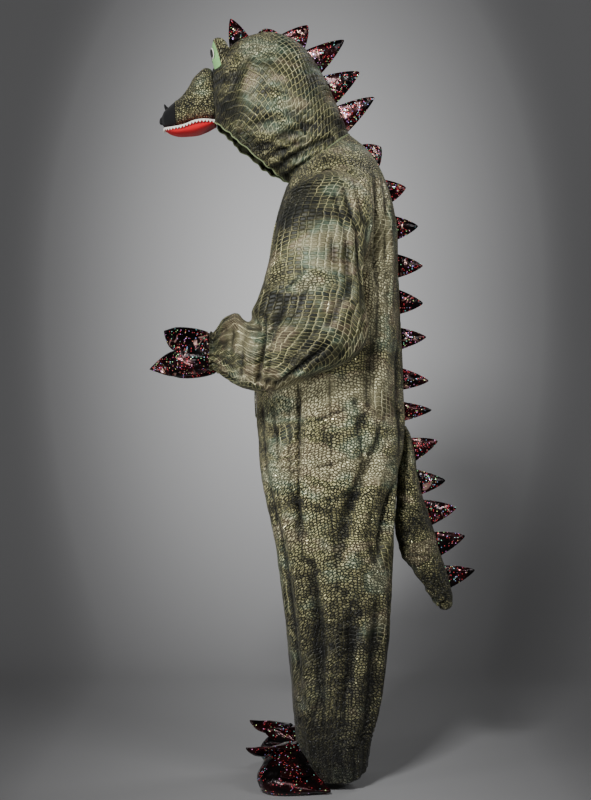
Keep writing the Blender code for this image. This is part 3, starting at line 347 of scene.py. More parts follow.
def column(table, field, at):
    """One named column of a table, read between its rows."""
    return smooth([row[0] for row in table], [getattr(row, field) for row in table], at)


def ease(t):
    t = np.clip(t, 0.0, 1.0)
    return t * t * (3 - 2 * t)


def power(value, exponent):
    return np.sign(value) * np.abs(value) ** exponent


def bezier(a, b, c, d, t):
    t = np.asarray(t)[..., None]
    u = 1 - t
    return a * u**3 + b * (3 * u * u * t) + c * (3 * u * t * t) + d * t**3


def unit(vectors):
    return vectors / np.maximum(np.linalg.norm(vectors, axis=-1, keepdims=True), 1e-12)


def normals_of(point_at, a, b, step_a, step_b, inside):
    """Unit normals of a surface, turned away from points inside it."""
    across = point_at(a + step_a, b) - point_at(a - step_a, b)
    along = point_at(a, b + step_b) - point_at(a, b - step_b)
    normal = unit(np.cross(across, along))
    facing = ((point_at(a, b) - inside) * normal).sum(-1, keepdims=True)
    return np.where(facing >= 0, normal, -normal)


def lengths_along(points, axis):
    """Arc length of each row (axis 1) or column (axis 0) of a grid, from its start."""
    steps = np.linalg.norm(np.diff(points, axis=axis), axis=-1)
    shape = list(points.shape[:2])
    shape[axis] = 1
    return np.concatenate([np.zeros(shape), np.cumsum(steps, axis=axis)], axis=axis)


def ripple(points, size, seed):
    """Soft noise from -1 to 1 at points, with features of a size in metres."""
    flat = points.reshape(-1, 3) / size + np.array([seed * 7.3, seed * 3.1, seed * 5.7])
    return np.array([noise.noise(Vector(p)) for p in flat]).reshape(points.shape[:-1])


def folded(across, along, rows):
    """How far long folds sink or rise: each is a trough with a softer ridge beside it."""
    depth = np.zeros(np.broadcast(across, along).shape)
    for row in rows:
        share = np.clip((along - row.top) / (row.bottom - row.top), 0, 1)
        away = (across - row.angle - row.lean * (share - 0.5)) / row.half_width
        window = np.sin(np.pi * share) ** 0.8
        depth += row.depth * window * (0.55 * np.exp(-((away - 1.6) ** 2)) - np.exp(-away * away))
    return depth


def small_folds(seed, count, across, along, length, half_width, depth, lean):
    """Table of lesser folds, uneven in place, length, depth and lean; each range is a pair."""
    draw = random.Random(seed)
    rows = []
    for _ in range(count):
        top = draw.uniform(*along)
        rows.append(
            Fold(
                draw.uniform(*across),
                top,
                top + draw.uniform(*length),
                draw.uniform(*half_width),
                draw.uniform(*depth) * draw.choice((1, 1, -1)),
                draw.uniform(*lean),
            )
        )
    return rows


def leg_middle(drop):
    outer, inner = column(BODY, "outer", drop), column(BODY, "inner", drop)
    share = np.clip((drop - CROTCH_TOP) / (CROTCH - CROTCH_TOP), 0, 1)
    return (outer + inner) / 2 * (1 - (1 - share) ** 2)


def section_points(angle, drop):
    front, back = column(BODY, "front", drop), column(BODY, "back", drop)
    middle = leg_middle(drop)
    half_width = column(BODY, "outer", drop) - middle
    turn = np.radians(angle)
    x = (front + back) / 2 - (back - front) / 2 * power(np.cos(turn), 2 / ROUNDNESS)
    return stack(x, middle + half_width * power(np.sin(turn), 2 / ROUNDNESS), -drop)


def shoulder_points(angle, level):
    """Yoke of the body from the neckline (level 0) over the shoulder to the underarm (level 1)."""
    turn = np.radians(angle)
    ahead = np.maximum(0, np.cos(turn)) ** 2
    beside = np.sin(turn) ** 2
    behind = np.maximum(0, -np.cos(turn)) ** 2
    chest = section_points(angle, UNDERARM + 0 * angle)
    share = ((1 + np.cos(turn)) / 2)[..., None]
    neck = np.array(NECK_BACK) * (1 - share) + np.array(NECK_FRONT) * share
    neck[..., 1] = NECK_HALF_WIDTH * np.sin(turn)
    lift = 0.07 * ahead + 0.21 * beside + 0.17 * behind
    reach = 0.022 * ahead + 0.09 * beside + 0.088 * behind
    rise = -0.047 * ahead + 0.008 * beside - 0.0625 * behind
    over = neck + stack(-np.cos(turn) * reach, np.sin(turn) * reach, rise)
    return bezier(neck, over, chest + stack(0, 0, lift), chest, level)


def hem_drop(angle):
    away = np.abs((angle + 180) % 360 - 180)
    forward = INSTEP_HEM + (SIDE_HEM - INSTEP_HEM) * ease((away - 8) / 74)
    return forward + (HEEL_HEM - SIDE_HEM) * ease((away - 110) / 70)


def drop_at(angle, level):
    trunk = UNDERARM + (CROTCH - UNDERARM) * (level - 1)
    leg = CROTCH + (ANKLE - CROTCH) * (level - 2) / 0.86
    hem = ANKLE + (hem_drop(angle) - ANKLE) * (level - 2.86) / 0.14
    return np.where(level <= 2, trunk, np.where(level <= 2.86, leg, hem))


def body_points(angle, level):
    angle, level = np.broadcast_arrays(np.asarray(angle, float), np.asarray(level, float))
    yoke = shoulder_points(angle, np.minimum(level, 1.0))
    below = section_points(angle, drop_at(angle, np.maximum(level, 1.0)))
    return np.where(level[..., None] <= 1, yoke, below)


def body_normals(angle, level):
    angle, level = np.broadcast_arrays(np.asarray(angle, float), np.asarray(level, float))
    points = body_points(angle, level)
    middle = stack(0 * angle, leg_middle(-points[..., 2]), points[..., 2])
    inside = np.where(level[..., None] <= 1, np.array([-0.02, 0.0, -0.20]), middle)
    return normals_of(body_points, angle, level, 0.4, 0.004, inside)


def inner_angle(level):
    """Angle of the centre seam, which turns under through the crotch to the inside leg."""
    level = np.asarray(level, float)
    drop = drop_at(0.0, np.clip(level, 1, 2))
    middle = leg_middle(drop)
    half_width = column(BODY, "outer", drop) - middle
    under = -np.degrees(np.arcsin(np.minimum(1.0, (middle / half_width) ** (ROUNDNESS / 2))))
    return np.where(level <= 1, 0.0, np.where(level >= 2, -90.0, under))


def armhole_angle(level):
    share = np.clip((level - ARMHOLE_TOP) / (1 - ARMHOLE_TOP), 0, 1)
    return ARMHOLE_HALF_ANGLE * (4 * share * (1 - share)) ** 0.6


# Sharper creases on the near (left) side: the lines that show in a side view, and their lesser neighbours
SIDE_CREASES = {
    "left": [
        Fold(109, 0.62, 0.93, 3.4, 0.0065, -40),
        Fold(64, 0.50, 0.92, 2.6, 0.0050, -13),
        Fold(150, 0.73, 0.92, 3.2, 0.0060, -34),
        Fold(72, 0.84, 1.30, 3.0, 0.0055, 5),
        Fold(132, 0.04, 0.30, 2.8, 0.0075, -14),
        Fold(124, 0.06, 0.27, 2.4, 0.0060, -10),
        Fold(141, 0.05, 0.33, 2.6, 0.0050, -16),
        Fold(98, 0.98, 1.36, 2.6, 0.0045, -9),
        Fold(40, 0.62, 1.20, 3.2, 0.0045, 10),
        Fold(118, 0.50, 0.78, 3.2, 0.0040, 30),
    ],
    "right": [
        Fold(112, 0.60, 0.90, 3.6, 0.0060, -34),
        Fold(59, 0.52, 0.96, 2.8, 0.0050, -10),
        Fold(146, 0.76, 0.98, 3.2, 0.0055, -30),
        Fold(76, 0.88, 1.32, 3.0, 0.0050, 8),
        Fold(129, 0.05, 0.31, 2.8, 0.0070, -12),
        Fold(139, 0.07, 0.35, 2.6, 0.0050, -16),
        Fold(101, 1.00, 1.36, 2.8, 0.0045, -12),
        Fold(34, 0.66, 1.16, 3.2, 0.0045, 12),
    ],
}
FOLD_SEEDS = {"left": 11, "right": 23}


def body_relief(angle, points, level, side):
    """Every fold of one half of the body, large and small, as a distance out."""
    drop = -points[..., 2]
    seed = FOLD_SEEDS[side]
    large = folded(angle, drop, BODY_FOLDS)
    rows = SIDE_CREASES[side]
    rows = rows + small_folds(
        seed, 34, (-55, 235), (0.62, 1.22), (0.06, 0.24), (3.0, 6.5), (0.0015, 0.0042), (-22, 22)
    )
    rows = rows + small_folds(
        seed + 1, 22, (8, 172), (0.28, 0.62), (0.05, 0.20), (3.5, 7.0), (0.0012, 0.0036), (-30, 30)
    )
    rows = rows + small_folds(
        seed + 2, 10, (100, 172), (-0.02, 0.30), (0.08, 0.20), (3.0, 6.0), (0.0015, 0.0034), (-16, 16)
    )
    fine = folded(angle, drop, rows)
    mirror = points * np.array([1, SIDES[side], 1])
    fine = fine * (1 + 0.8 * ripple(mirror, 0.05, 3))
    fine = fine + 0.0022 * ripple(mirror * np.array([1, 1, 0.55]), 0.045, 1)
    fine = fine + 0.0009 * ripple(mirror, 0.016, 2)
    sagging = np.exp(-(((drop - 1.298) / 0.024) ** 2)) * ease((angle - 60) / 50)
    wave = np.sin(drop * math.tau / 0.0115 + 2.2 * ripple(mirror, 0.05, 4))
    fine = fine + 0.0026 * sagging * wave
    gathers = ease((drop - 1.27) / 0.06) * (level > 2.7)
    fine = fine + 0.0016 * gathers * np.sin(np.radians(angle) * 17 + 3 * ripple(mirror, 0.06, 5))
    centre = ease(np.abs(points[..., 1]) / 0.03)
    return large, fine * (0.25 + 0.75 * centre)


def seam_valley(points, first=True, last=True, depth=0.0022, width=0.0036):
    """Dip of the cloth where a row's end is sewn to its neighbour."""
    run = lengths_along(points, 1)
    total = run[:, -1:]
    dip = np.zeros(run.shape)
    if first:
        dip -= depth * np.exp(-((run / width) ** 2))
    if last:
        dip -= depth * np.exp(-(((total - run) / width) ** 2))
    return dip


def hood_points(across, along):
    """Hood from the crown (across 0) to the face opening (1), from the snout (along 0) to the neck (1)."""
    across, along = np.broadcast_arrays(np.asarray(across, float), np.asarray(along, float))
    crown = stack(column(CROWN, "x", along), 0, column(CROWN, "z", along))
    edge = stack(column(FACE_EDGE, "x", along), 0, column(FACE_EDGE, "z", along))
    half_width = column(CROWN, "half_width", along)
    last = math.pi - np.arcsin(np.minimum(1.0, column(FACE_EDGE, "y", along) / half_width))
    turn = last * across
    share = ((1 - np.cos(turn)) / (1 - np.cos(last)))[..., None]
    points = crown * (1 - share) + edge * share
    points[..., 1] = half_width * np.sin(turn)
    return points


def hood_shell(across, along, out=0.0, extra=None):
    across, along = np.broadcast_arrays(np.asarray(across, float), np.asarray(along, float))
    points = hood_points(across, along)
    normal = normals_of(hood_points, across, along, 0.004, 0.004, np.array([-0.13, 0.0, 0.12]))
    shift = np.zeros(across.shape) + out
    for fold in HOOD_FOLDS:
        share = np.clip((along - fold.top) / (fold.bottom - fold.top), 0, 1)
        away = (across - fold.angle - fold.lean * (share - 0.5)) / fold.half_width
        shift = shift - fold.depth * np.sin(np.pi * share) * np.exp(-away * away)
    if extra is not None:
        shift = shift + extra(across, along, points)
    return points + normal * shift[..., None], normal


# Creases of the hood's cloth: across from crown to face edge, along from snout to neck
HOOD_CREASES = [
    Fold(0.90, 0.40, 1.04, 0.020, 0.0020, -0.34),
    Fold(0.80, 0.52, 1.06, 0.022, 0.0026, -0.32),
    Fold(0.70, 0.60, 1.06, 0.020, 0.0022, -0.28),
    Fold(0.61, 0.66, 1.06, 0.022, 0.0020, -0.24),
    Fold(0.95, 0.20, 0.62, 0.030, 0.0034, -0.14),
    Fold(0.30, 0.05, 0.40, 0.050, 0.0024, 0.30),
    Fold(0.55, -0.04, 0.30, 0.040, 0.0030, 0.16),
    Fold(0.70, -0.04, 0.24, 0.035, 0.0026, 0.12),
]


def hood_relief(side):
    def relief(across, along, points):
        mirror = points * np.array([1, SIDES[side], 1])
        rows = HOOD_CREASES + small_folds(
            FOLD_SEEDS[side] + 5, 16, (0.35, 0.98), (0.30, 0.90), (0.10, 0.40), (0.014, 0.030),
            (0.0008, 0.0024), (-0.3, 0.05)
        )
        fine = folded(across, along, rows) * (1 + 0.6 * ripple(mirror, 0.04, 6))
        fine = fine + 0.0020 * ripple(mirror, 0.045, 7) + 0.0008 * ripple(mirror, 0.015, 8)
        wave = 0.0018 * np.sin(along * 48 + 3 * ripple(mirror, 0.05, 9))
        pucker = np.exp(-((across - 1) / 0.05) ** 2) * wave
        gather = np.exp(-((along - 1) / 0.10) ** 2) * ease((across - 0.25) / 0.3)
        fine = fine + pucker + 0.0013 * gather * np.sin(across * 74 + 3 * ripple(mirror, 0.04, 10))
        fine = fine + drapes(points, points[..., 1] / 0.12, HOOD_DRAPES, side)
        return fine * ease(np.abs(points[..., 1]) / 0.025 + 0.15)
    return relief


def slice_rings(table, count, steps, flatness=1.0, across_power=1.0):
    """Rings of a stuffed form on smooth curves through a table of slices."""
    places = np.linspace(0, len(table) - 1, steps)
    knots = np.arange(len(table))
    fields = {
        name: smooth(knots, [getattr(cut, name) for cut in table], places)[:, None] for name in Slice._fields
    }
    turn = np.arange(count)[None, :] * math.tau / count
    height = np.where(np.cos(turn) > 0, np.cos(turn), power(np.cos(turn), flatness))
    x = (fields["top_x"] + fields["low_x"]) / 2 + (fields["top_x"] - fields["low_x"]) / 2 * height
    z = (fields["top_z"] + fields["low_z"]) / 2 + (fields["top_z"] - fields["low_z"]) / 2 * height
    return stack(x, fields["half_width"] * power(np.sin(turn), across_power), z)


def sleeve_rings(count):
    """The armhole's ring and the sleeve's own, each with count points."""
    turn = np.arange(count) * math.tau / count
    ahead, aside = power(np.cos(turn), SLEEVE_ROUNDNESS), power(np.sin(turn), SLEEVE_ROUNDNESS)
    rings = [armhole_ring(count)]
    for ring in SLEEVE:
        middle_y = (ring.inner_y + ring.outer_y) / 2
        middle = np.array([(ring.front_x + ring.back_x) / 2, middle_y, (ring.front_z + ring.back_z) / 2])
        front = np.array([ring.front_x, middle[1], ring.front_z]) - middle
        back = np.array([ring.back_x, middle[1], ring.back_z]) - middle
        outer = np.array([middle[0], ring.outer_y, ring.outer_z]) - middle
        inner = np.array([middle[0], ring.inner_y, ring.inner_z]) - middle
        points = middle + np.maximum(ahead, 0)[:, None] * front + np.maximum(-ahead, 0)[:, None] * back
        points = points + np.maximum(aside, 0)[:, None] * outer + np.maximum(-aside, 0)[:, None] * inner
        rings.append(points)
    return np.array(rings)


def armhole_ring(count):
    """Edge of the armhole, from its front over the shoulder and down the back, just clear of the body."""
    step = (np.arange(count) / count - 0.25) % 1.0
    share = np.where(step <= 0.5, step * 2, 2 - step * 2)
    level = ARMHOLE_TOP + (1 - ARMHOLE_TOP) * share
    angle = 90 + np.where(step <= 0.5, 1, -1) * armhole_angle(level)
    points = body_points(angle, level)
    normal = body_normals(angle, level)
    lift = folded(angle, -points[..., 2], BODY_FOLDS) + SEAM_GAP * 2
    return points + normal * lift[..., None]


# Folds of the sleeve: across is the share of the way round from its front edge, along the ring number
SLEEVE_CREASES = [
    Fold(0.12, 6.3, 9.2, 0.060, 0.0100, -0.10),
    Fold(0.50, 4.2, 8.6, 0.035, 0.0060, -0.26),
    Fold(0.42, 5.0, 9.6, 0.030, 0.0046, -0.20),
    Fold(0.36, 0.2, 4.6, 0.026, 0.0064, 0.06),
    Fold(0.30, 0.4, 3.4, 0.022, 0.0044, 0.04),
    Fold(0.43, 0.3, 5.4, 0.024, 0.0058, 0.02),
    Fold(0.21, 8.4, 11.6, 0.028, 0.0046, 0.08),
    Fold(0.33, 8.8, 12.2, 0.026, 0.0050, -0.06),
    Fold(0.06, 8.6, 12.0, 0.026, 0.0044, -0.05),
    Fold(0.18, 3.6, 6.6, 0.034, 0.0034, 0.10),
    Fold(0.70, 1.0, 6.0, 0.040, 0.0044, 0.10),
    Fold(0.85, 3.0, 9.0, 0.040, 0.0044, -0.10),
]

Drape = namedtuple("Drape", "x0 z0 x1 z1 half_width depth")
# Sharp creases on the sleeve's outside, seen from the side; a negative depth is a ridge
SLEEVE_DRAPES = [
    Drape(-0.1570, -0.372, -0.1714, -0.515, 0.0048, 0.0125),
    Drape(-0.1470, -0.385, -0.1575, -0.520, 0.0040, -0.0045),
    Drape(-0.1390, -0.531, -0.0270, -0.440, 0.0056, 0.0100),
    Drape(-0.1450, -0.520, -0.0400, -0.430, 0.0050, -0.0035),
    Drape(-0.0860, -0.524, 0.0050, -0.476, 0.0060, 0.0050),
    Drape(-0.1990, -0.395, -0.2080, -0.500, 0.0060, 0.0050),
    Drape(-0.2260, -0.402, -0.2300, -0.470, 0.0050, 0.0035),
    Drape(0.0304, -0.060, 0.0605, -0.170, 0.0050, 0.0070),
    Drape(0.0110, -0.078, 0.0390, -0.185, 0.0050, 0.0055),
    Drape(-0.0083, -0.100, 0.0154, -0.195, 0.0055, 0.0045),
    Drape(0.0420, -0.180, 0.0605, -0.345, 0.0060, 0.0060),
    Drape(-0.1030, -0.325, -0.1500, -0.440, 0.0080, 0.0045),
    Drape(-0.0600, -0.300, -0.1050, -0.400, 0.0090, 0.0035),
    Drape(0.0300, -0.300, -0.0200, -0.400, 0.0080, 0.0040),
]
HOOD_DRAPES = [
    Drape(-0.1380, -0.030, -0.0100, 0.040, 0.0070, 0.0100),
    Drape(-0.1190, -0.046, -0.0430, -0.003, 0.0052, 0.0065),
    Drape(-0.1770, 0.012, -0.0530, 0.064, 0.0090, 0.0055),
    Drape(-0.1560, -0.008, -0.0700, 0.028, 0.0060, 0.0050),
    Drape(-0.2110, 0.060, -0.1080, 0.084, 0.0090, 0.0034),
    Drape(-0.2110, 0.221, -0.2390, 0.128, 0.0110, 0.0050),
    Drape(-0.1300, 0.235, -0.0600, 0.180, 0.0100, 0.0024),
]
# The same for the body and legs
BODY_DRAPES = [
    Drape(-0.0876, -0.500, -0.0898, -0.870, 0.0042, 0.0075),
    Drape(-0.0985, -0.510, -0.1000, -0.860, 0.0045, -0.0030),
    Drape(-0.1430, -0.540, -0.1210, -0.830, 0.0060, 0.0050),
    Drape(-0.0810, -0.610, 0.0180, -0.572, 0.0050, 0.0040),
    Drape(-0.0700, -0.706, 0.0735, -0.670, 0.0060, 0.0040),
    Drape(-0.0500, -0.790, 0.0500, -0.745, 0.0065, 0.0035),
    Drape(0.0910, -0.130, 0.0956, -0.410, 0.0055, 0.0050),
    Drape(0.0740, -0.100, 0.0800, -0.260, 0.0050, 0.0045),
    Drape(0.0400, -0.550, 0.0780, -0.840, 0.0070, 0.0055),
    Drape(-0.0810, -0.895, 0.0180, -0.975, 0.0070, 0.0040),
    Drape(-0.0300, -1.060, 0.0600, -1.020, 0.0065, 0.0030),
    Drape(-0.0500, -1.190, 0.0400, -1.165, 0.0060, 0.0030),
    Drape(0.0180, -1.291, 0.0690, -1.284, 0.0030, 0.0034),
    Drape(0.0070, -1.307, 0.0650, -1.304, 0.0032, 0.0034),
    Drape(0.0120, -1.324, 0.0600, -1.326, 0.0030, 0.0028),
]


def drapes(points, outside, rows, side):
    """Shift of the cloth along its normal by creases that lie on its outside."""
    offset = 0.0 if side == "left" else 0.006
    waver = 0.0025 * ripple(points * np.array([1, SIDES[side], 1]), 0.03, 17)
    shift = np.zeros(points.shape[:-1])
    for row in rows:
        start, run = np.array([row.x0, row.z0 - offset]), np.array([row.x1 - row.x0, row.z1 - row.z0])
        reach = points[..., [0, 2]] - start
        share = np.clip(reach @ run / run.dot(run), 0, 1)
        away = np.linalg.norm(reach - share[..., None] * run, axis=-1) + waver
        off = away / row.half_width
        profile = np.exp(-(off**2)) - 0.30 * np.exp(-(((off - 2.1) / 0.8) ** 2))
        shift -= row.depth * profile * np.sin(np.pi * (0.08 + 0.84 * share)) ** 0.6
    return shift * ease((outside - 0.10) / 0.35)


def sleeve_grid(side):
    """Sleeve's outer surface from armhole to wrist, with its folds and the gathers of its elastic."""
    count = SLEEVE_COLUMNS
    rings = sleeve_rings(count)
    steps = 12
    places = np.linspace(0, len(rings) - 1, (len(rings) - 1) * steps + 1)
    grid = smooth(np.arange(len(rings)), rings, places)
    centre = grid.mean(axis=1, keepdims=True)
    around = np.roll(grid, -1, axis=1) - np.roll(grid, 1, axis=1)
    down = np.gradient(grid, axis=0)
    normal = unit(np.cross(around, down))
    facing = ((grid - centre) * normal).sum(-1, keepdims=True)
    normal = np.where(facing >= 0, normal, -normal)
    across = np.arange(count)[None, :] / count
    along = (places - 1)[:, None]
    bend = smooth([-1, 5, 6, 7, 8, 9, 10, 13], [0, 0, 0.005, 0.018, 0.011, -0.005, 0, 0], along + 0 * across)
    inner = np.maximum(0, np.cos(math.tau * (across - 0.13))) ** 1.5
    shift = -bend * inner
    rows = SLEEVE_CREASES + small_folds(
        FOLD_SEEDS[side] + 9, 26, (0.02, 0.98), (0.5, 11.0), (1.0, 4.0), (0.012, 0.030),
        (0.0012, 0.0036), (-0.10, 0.10)
    )
    mirror = grid * np.array([1, SIDES[side], 1])
    fine = folded(across, along, rows) * (1 + 0.7 * ripple(mirror, 0.045, 11))
    fine = fine + 0.0020 * ripple(mirror, 0.040, 12) + 0.0008 * ripple(mirror, 0.014, 13)
    cuff = ease((along - 9.0) / 3.4)
    waver = 2.5 * ripple(mirror, 0.03, 14)
    fine = fine + 0.0030 * cuff * np.cos(math.tau * across * 15 + waver)
    fine = fine + 0.0014 * cuff * np.cos(math.tau * across * 26 - waver)
    fade = ease(along / 1.4 + 0.72)
    seam = -0.0010 * np.exp(-(((places * 0.05)[:, None] / 0.006) ** 2))
    shift = shift + drapes(grid, normal[..., 1], SLEEVE_DRAPES, side)
    return grid + normal * (shift + fine * fade + seam)[..., None], normal


def hem_corner(step):
    angle = FOOT_HEM_ANGLE * (2 * np.asarray(step, float) / HEM_STEPS - 1)
    points = body_points(angle, 3.0 + 0 * angle)
    lift = folded(angle, -points[..., 2], BODY_FOLDS)
    return points + body_normals(angle, 3.0 + 0 * angle) * lift[..., None]


def foot_points(across, along):
    """Foot cover from the leg's hem (along 0) to the floor round the toes (1), from inner to outer side."""
    across, along = np.broadcast_arrays(np.asarray(across, float), np.asarray(along, float))
    hem = hem_corner(across * HEM_STEPS)
    ahead = np.array([-math.cos(TOE_OUT), math.sin(TOE_OUT), 0.0])
    beside = np.array([math.sin(TOE_OUT), math.cos(TOE_OUT), 0.0])
    turn = np.radians(84) * (2 * across - 1)
    toe = np.array(FOOT_CENTRE) + ahead * (FOOT_LENGTH * power(np.cos(turn), 0.75))[..., None]
    toe = toe + beside * (FOOT_HALF_WIDTH * power(np.sin(turn), 0.8))[..., None]
    toe[..., 2] = -FLOOR
    outward = (ahead * np.cos(turn)[..., None] + beside * np.sin(turn)[..., None]) * TOE_BULGE
    drop = hem[..., 2] + FLOOR
    forward = np.linalg.norm((toe - hem)[..., :2], axis=-1)
    start = hem + ahead * forward[..., None] * 0.55 - stack(0, 0, 0.12 * drop)
    above = toe + outward + stack(0, 0, 0.45 * drop)
    return bezier(hem, start, above, toe, along)


def foot_shell(across, along, out=0.0):
    across, along = np.broadcast_arrays(np.asarray(across, float), np.asarray(along, float))
    points = foot_points(across, along) - np.array([0, 0, SEAM_GAP * 2])
    inside = np.array([-0.055, 0.125, -FLOOR + 0.02])
    normal = normals_of(foot_points, across, np.clip(along, 0.02, 0.98), 0.01, 0.01, inside)
    return points + normal * np.asarray(out)[..., None], normal


def swatch(name, description, value):
    """A colour property whose default is an sRGB hex value."""
    return bpy.props.FloatVectorProperty(
        name=name, description=description, subtype="COLOR", size=4, min=0, max=1, default=(*srgb(value), 1)
    )


def length(name, description, value, low, high):
    """A size property in metres."""
    return bpy.props.FloatProperty(
        name=name, description=description, default=value, min=low, max=high,
        unit="LENGTH", subtype="DISTANCE", precision=5
    )


class CostumeColours(bpy.types.PropertyGroup):
    """Colours of the costume's cloths, felts and backdrop."""

    pit: swatch("Velour hollows", "Deepest parts of the velour's emboss", "#090c07")
    dark: swatch("Dark green", "Ground colour of the velour", "#1c2516")
    olive: swatch("Olive", "Middle tone of the print", "#686f40")
    tan: swatch("Tan", "Light brown parts of the print", "#c0a27e")
    cream: swatch("Cream foil", "Lightest parts of the print", "#efe2a6")
    teal: swatch("Teal", "Cold dark parts of the print", "#2f5f4a")
    mint: swatch("Mint foil", "Cold light parts of the print", "#98c5a0")
    foil: swatch("Foil lines", "Worn foil between the scales", "#d8d096")
    edge: swatch("Cut edge", "Bound and piped edges of the velour", "#7c8762")
    wine: swatch("Burgundy", "Red parts of the sparkly knit", "#2c080b")
    black: swatch("Black knit", "Ground colour of the sparkly knit", "#0c0708")
    # Painted reflection: pale streaks of lamp light painted onto the sparkly knit
    ruby: swatch("Red dots", "Plain red dots of the sparkly knit", "#e04a52")
    glare: swatch("Foil glare", "Painted reflection streaks on the sparkly knit", "#c79a92")
    red: swatch("Mouth felt", "Felt of the mouth", "#c4141f")
    ivory: swatch("Tooth felt", "Felt of the teeth and eye whites", "#ece9de")
    reverse: swatch("Velour reverse", "Plain knit back of the velour", "#666a50")
    leaf: swatch("Eye felt", "Felt of the eyeballs", "#86b877")
    ink: swatch("Black felt", "Felt of the nose and pupils", "#0c0c0d")
    thread: swatch("Thread", "Sewing thread", "#20261a")
    # The backdrop's three colours paint a pool of light on the paper
    paper_light: swatch("Backdrop centre", "Lit middle of the paper backdrop", "#f2f2f2")
    paper_mid: swatch("Backdrop middle", "Paper between centre and corners", "#bcbcbd")
    paper_dark: swatch("Backdrop corners", "Paper at the corners of the view", "#565657")


class CostumeSizes(bpy.types.PropertyGroup):
    """Sizes that a maker of the costume would change."""

    wall: length("Velour thickness", "Thickness of the velour with its pile", 0.0018, 0.0005, 0.004)
    plate: length("Scale plate", "Width of one large embossed scale", 0.0165, 0.004, 0.05)
    pebble: length("Pebble", "Width of one small embossed scale", 0.0070, 0.002, 0.02)
    dot: length("Hologram dot", "Spacing of the hologram dots", 0.0032, 0.001, 0.01)
    piping: length("Piping radius", "Radius of the bound edges", 0.0015, 0.0005, 0.004)
    stitch: length("Stitch length", "Length of one thread stitch", 0.0038, 0.001, 0.01)
    stitch_pitch: length("Stitch pitch", "Distance from stitch to stitch", 0.0060, 0.002, 0.02)


def colour(name):
    return tuple(getattr(bpy.context.scene.costume_colours, name))


def size(name):
    return getattr(bpy.context.scene.costume_sizes, name)


def add(tree, kind, inputs=None, stops=None, **settings):
    """Adds a shader node with its settings, ramp stops and links, and returns its result."""
    made = tree.nodes.new(kind)
    for key, value in settings.items():
        setattr(made, key, value)
    for key, value in (inputs or {}).items():
        if isinstance(value, bpy.types.NodeSocket):
            tree.links.new(value, made.inputs[key])
        else:
            made.inputs[key].default_value = value
    for number, (place, value) in enumerate(stops or ()):
        points = made.color_ramp.elements
        point = points[number] if number < 2 else points.new(place)
        point.position = place
        point.color = colour(value) if isinstance(value, str) else (value, value, value, 1)
    return made.outputs[2 if kind == "ShaderNodeMix" else 0]


def new_material(name, **values):
    made = bpy.data.materials.new(name)
    made.use_nodes = True
    shader = made.node_tree.nodes["Principled BSDF"]
    for key, value in values.items():
        shader.inputs[key.replace("_", " ").title()].default_value = value
    return made, made.node_tree, shader


# Soft patches, light or dark: x, z, half sizes and shade. Most lighten or darken the print; the light patch at
# the back of the shoulder (x 0.043, z -0.118) is a painted highlight.
PRINT_PATCHES_AND_HIGHLIGHT = (
    (-0.250, 0.165, 0.050, 0.115, -0.36),
    (-0.330, 0.100, 0.070, 0.060, -0.18),
    # Painted highlight: a light streak at the back of the shoulder
    (0.043, -0.118, 0.020, 0.050, 0.34),
    (-0.130, 0.075, 0.110, 0.050, 0.12),
    (-0.040, -0.235, 0.065, 0.095, 0.10),
    (-0.095, -0.120, 0.090, 0.080, -0.26),
    (0.030, -0.120, 0.050, 0.060, -0.12),
    (0.010, -0.375, 0.070, 0.045, 0.07),
    (-0.180, -0.440, 0.090, 0.060, 0.08),
    (0.095, -0.300, 0.036, 0.280, 0.40),
    (-0.010, -0.550, 0.160, 0.060, 0.30),
    (-0.110, -0.620, 0.050, 0.026, -0.20),
    (0.020, -0.618, 0.090, 0.022, -0.10),
    (-0.010, -0.690, 0.160, 0.070, 0.26),
    (0.020, -0.775, 0.120, 0.026, -0.08),
    (-0.020, -0.850, 0.140, 0.060, 0.12),
    (0.050, -0.990, 0.100, 0.050, -0.08),
)


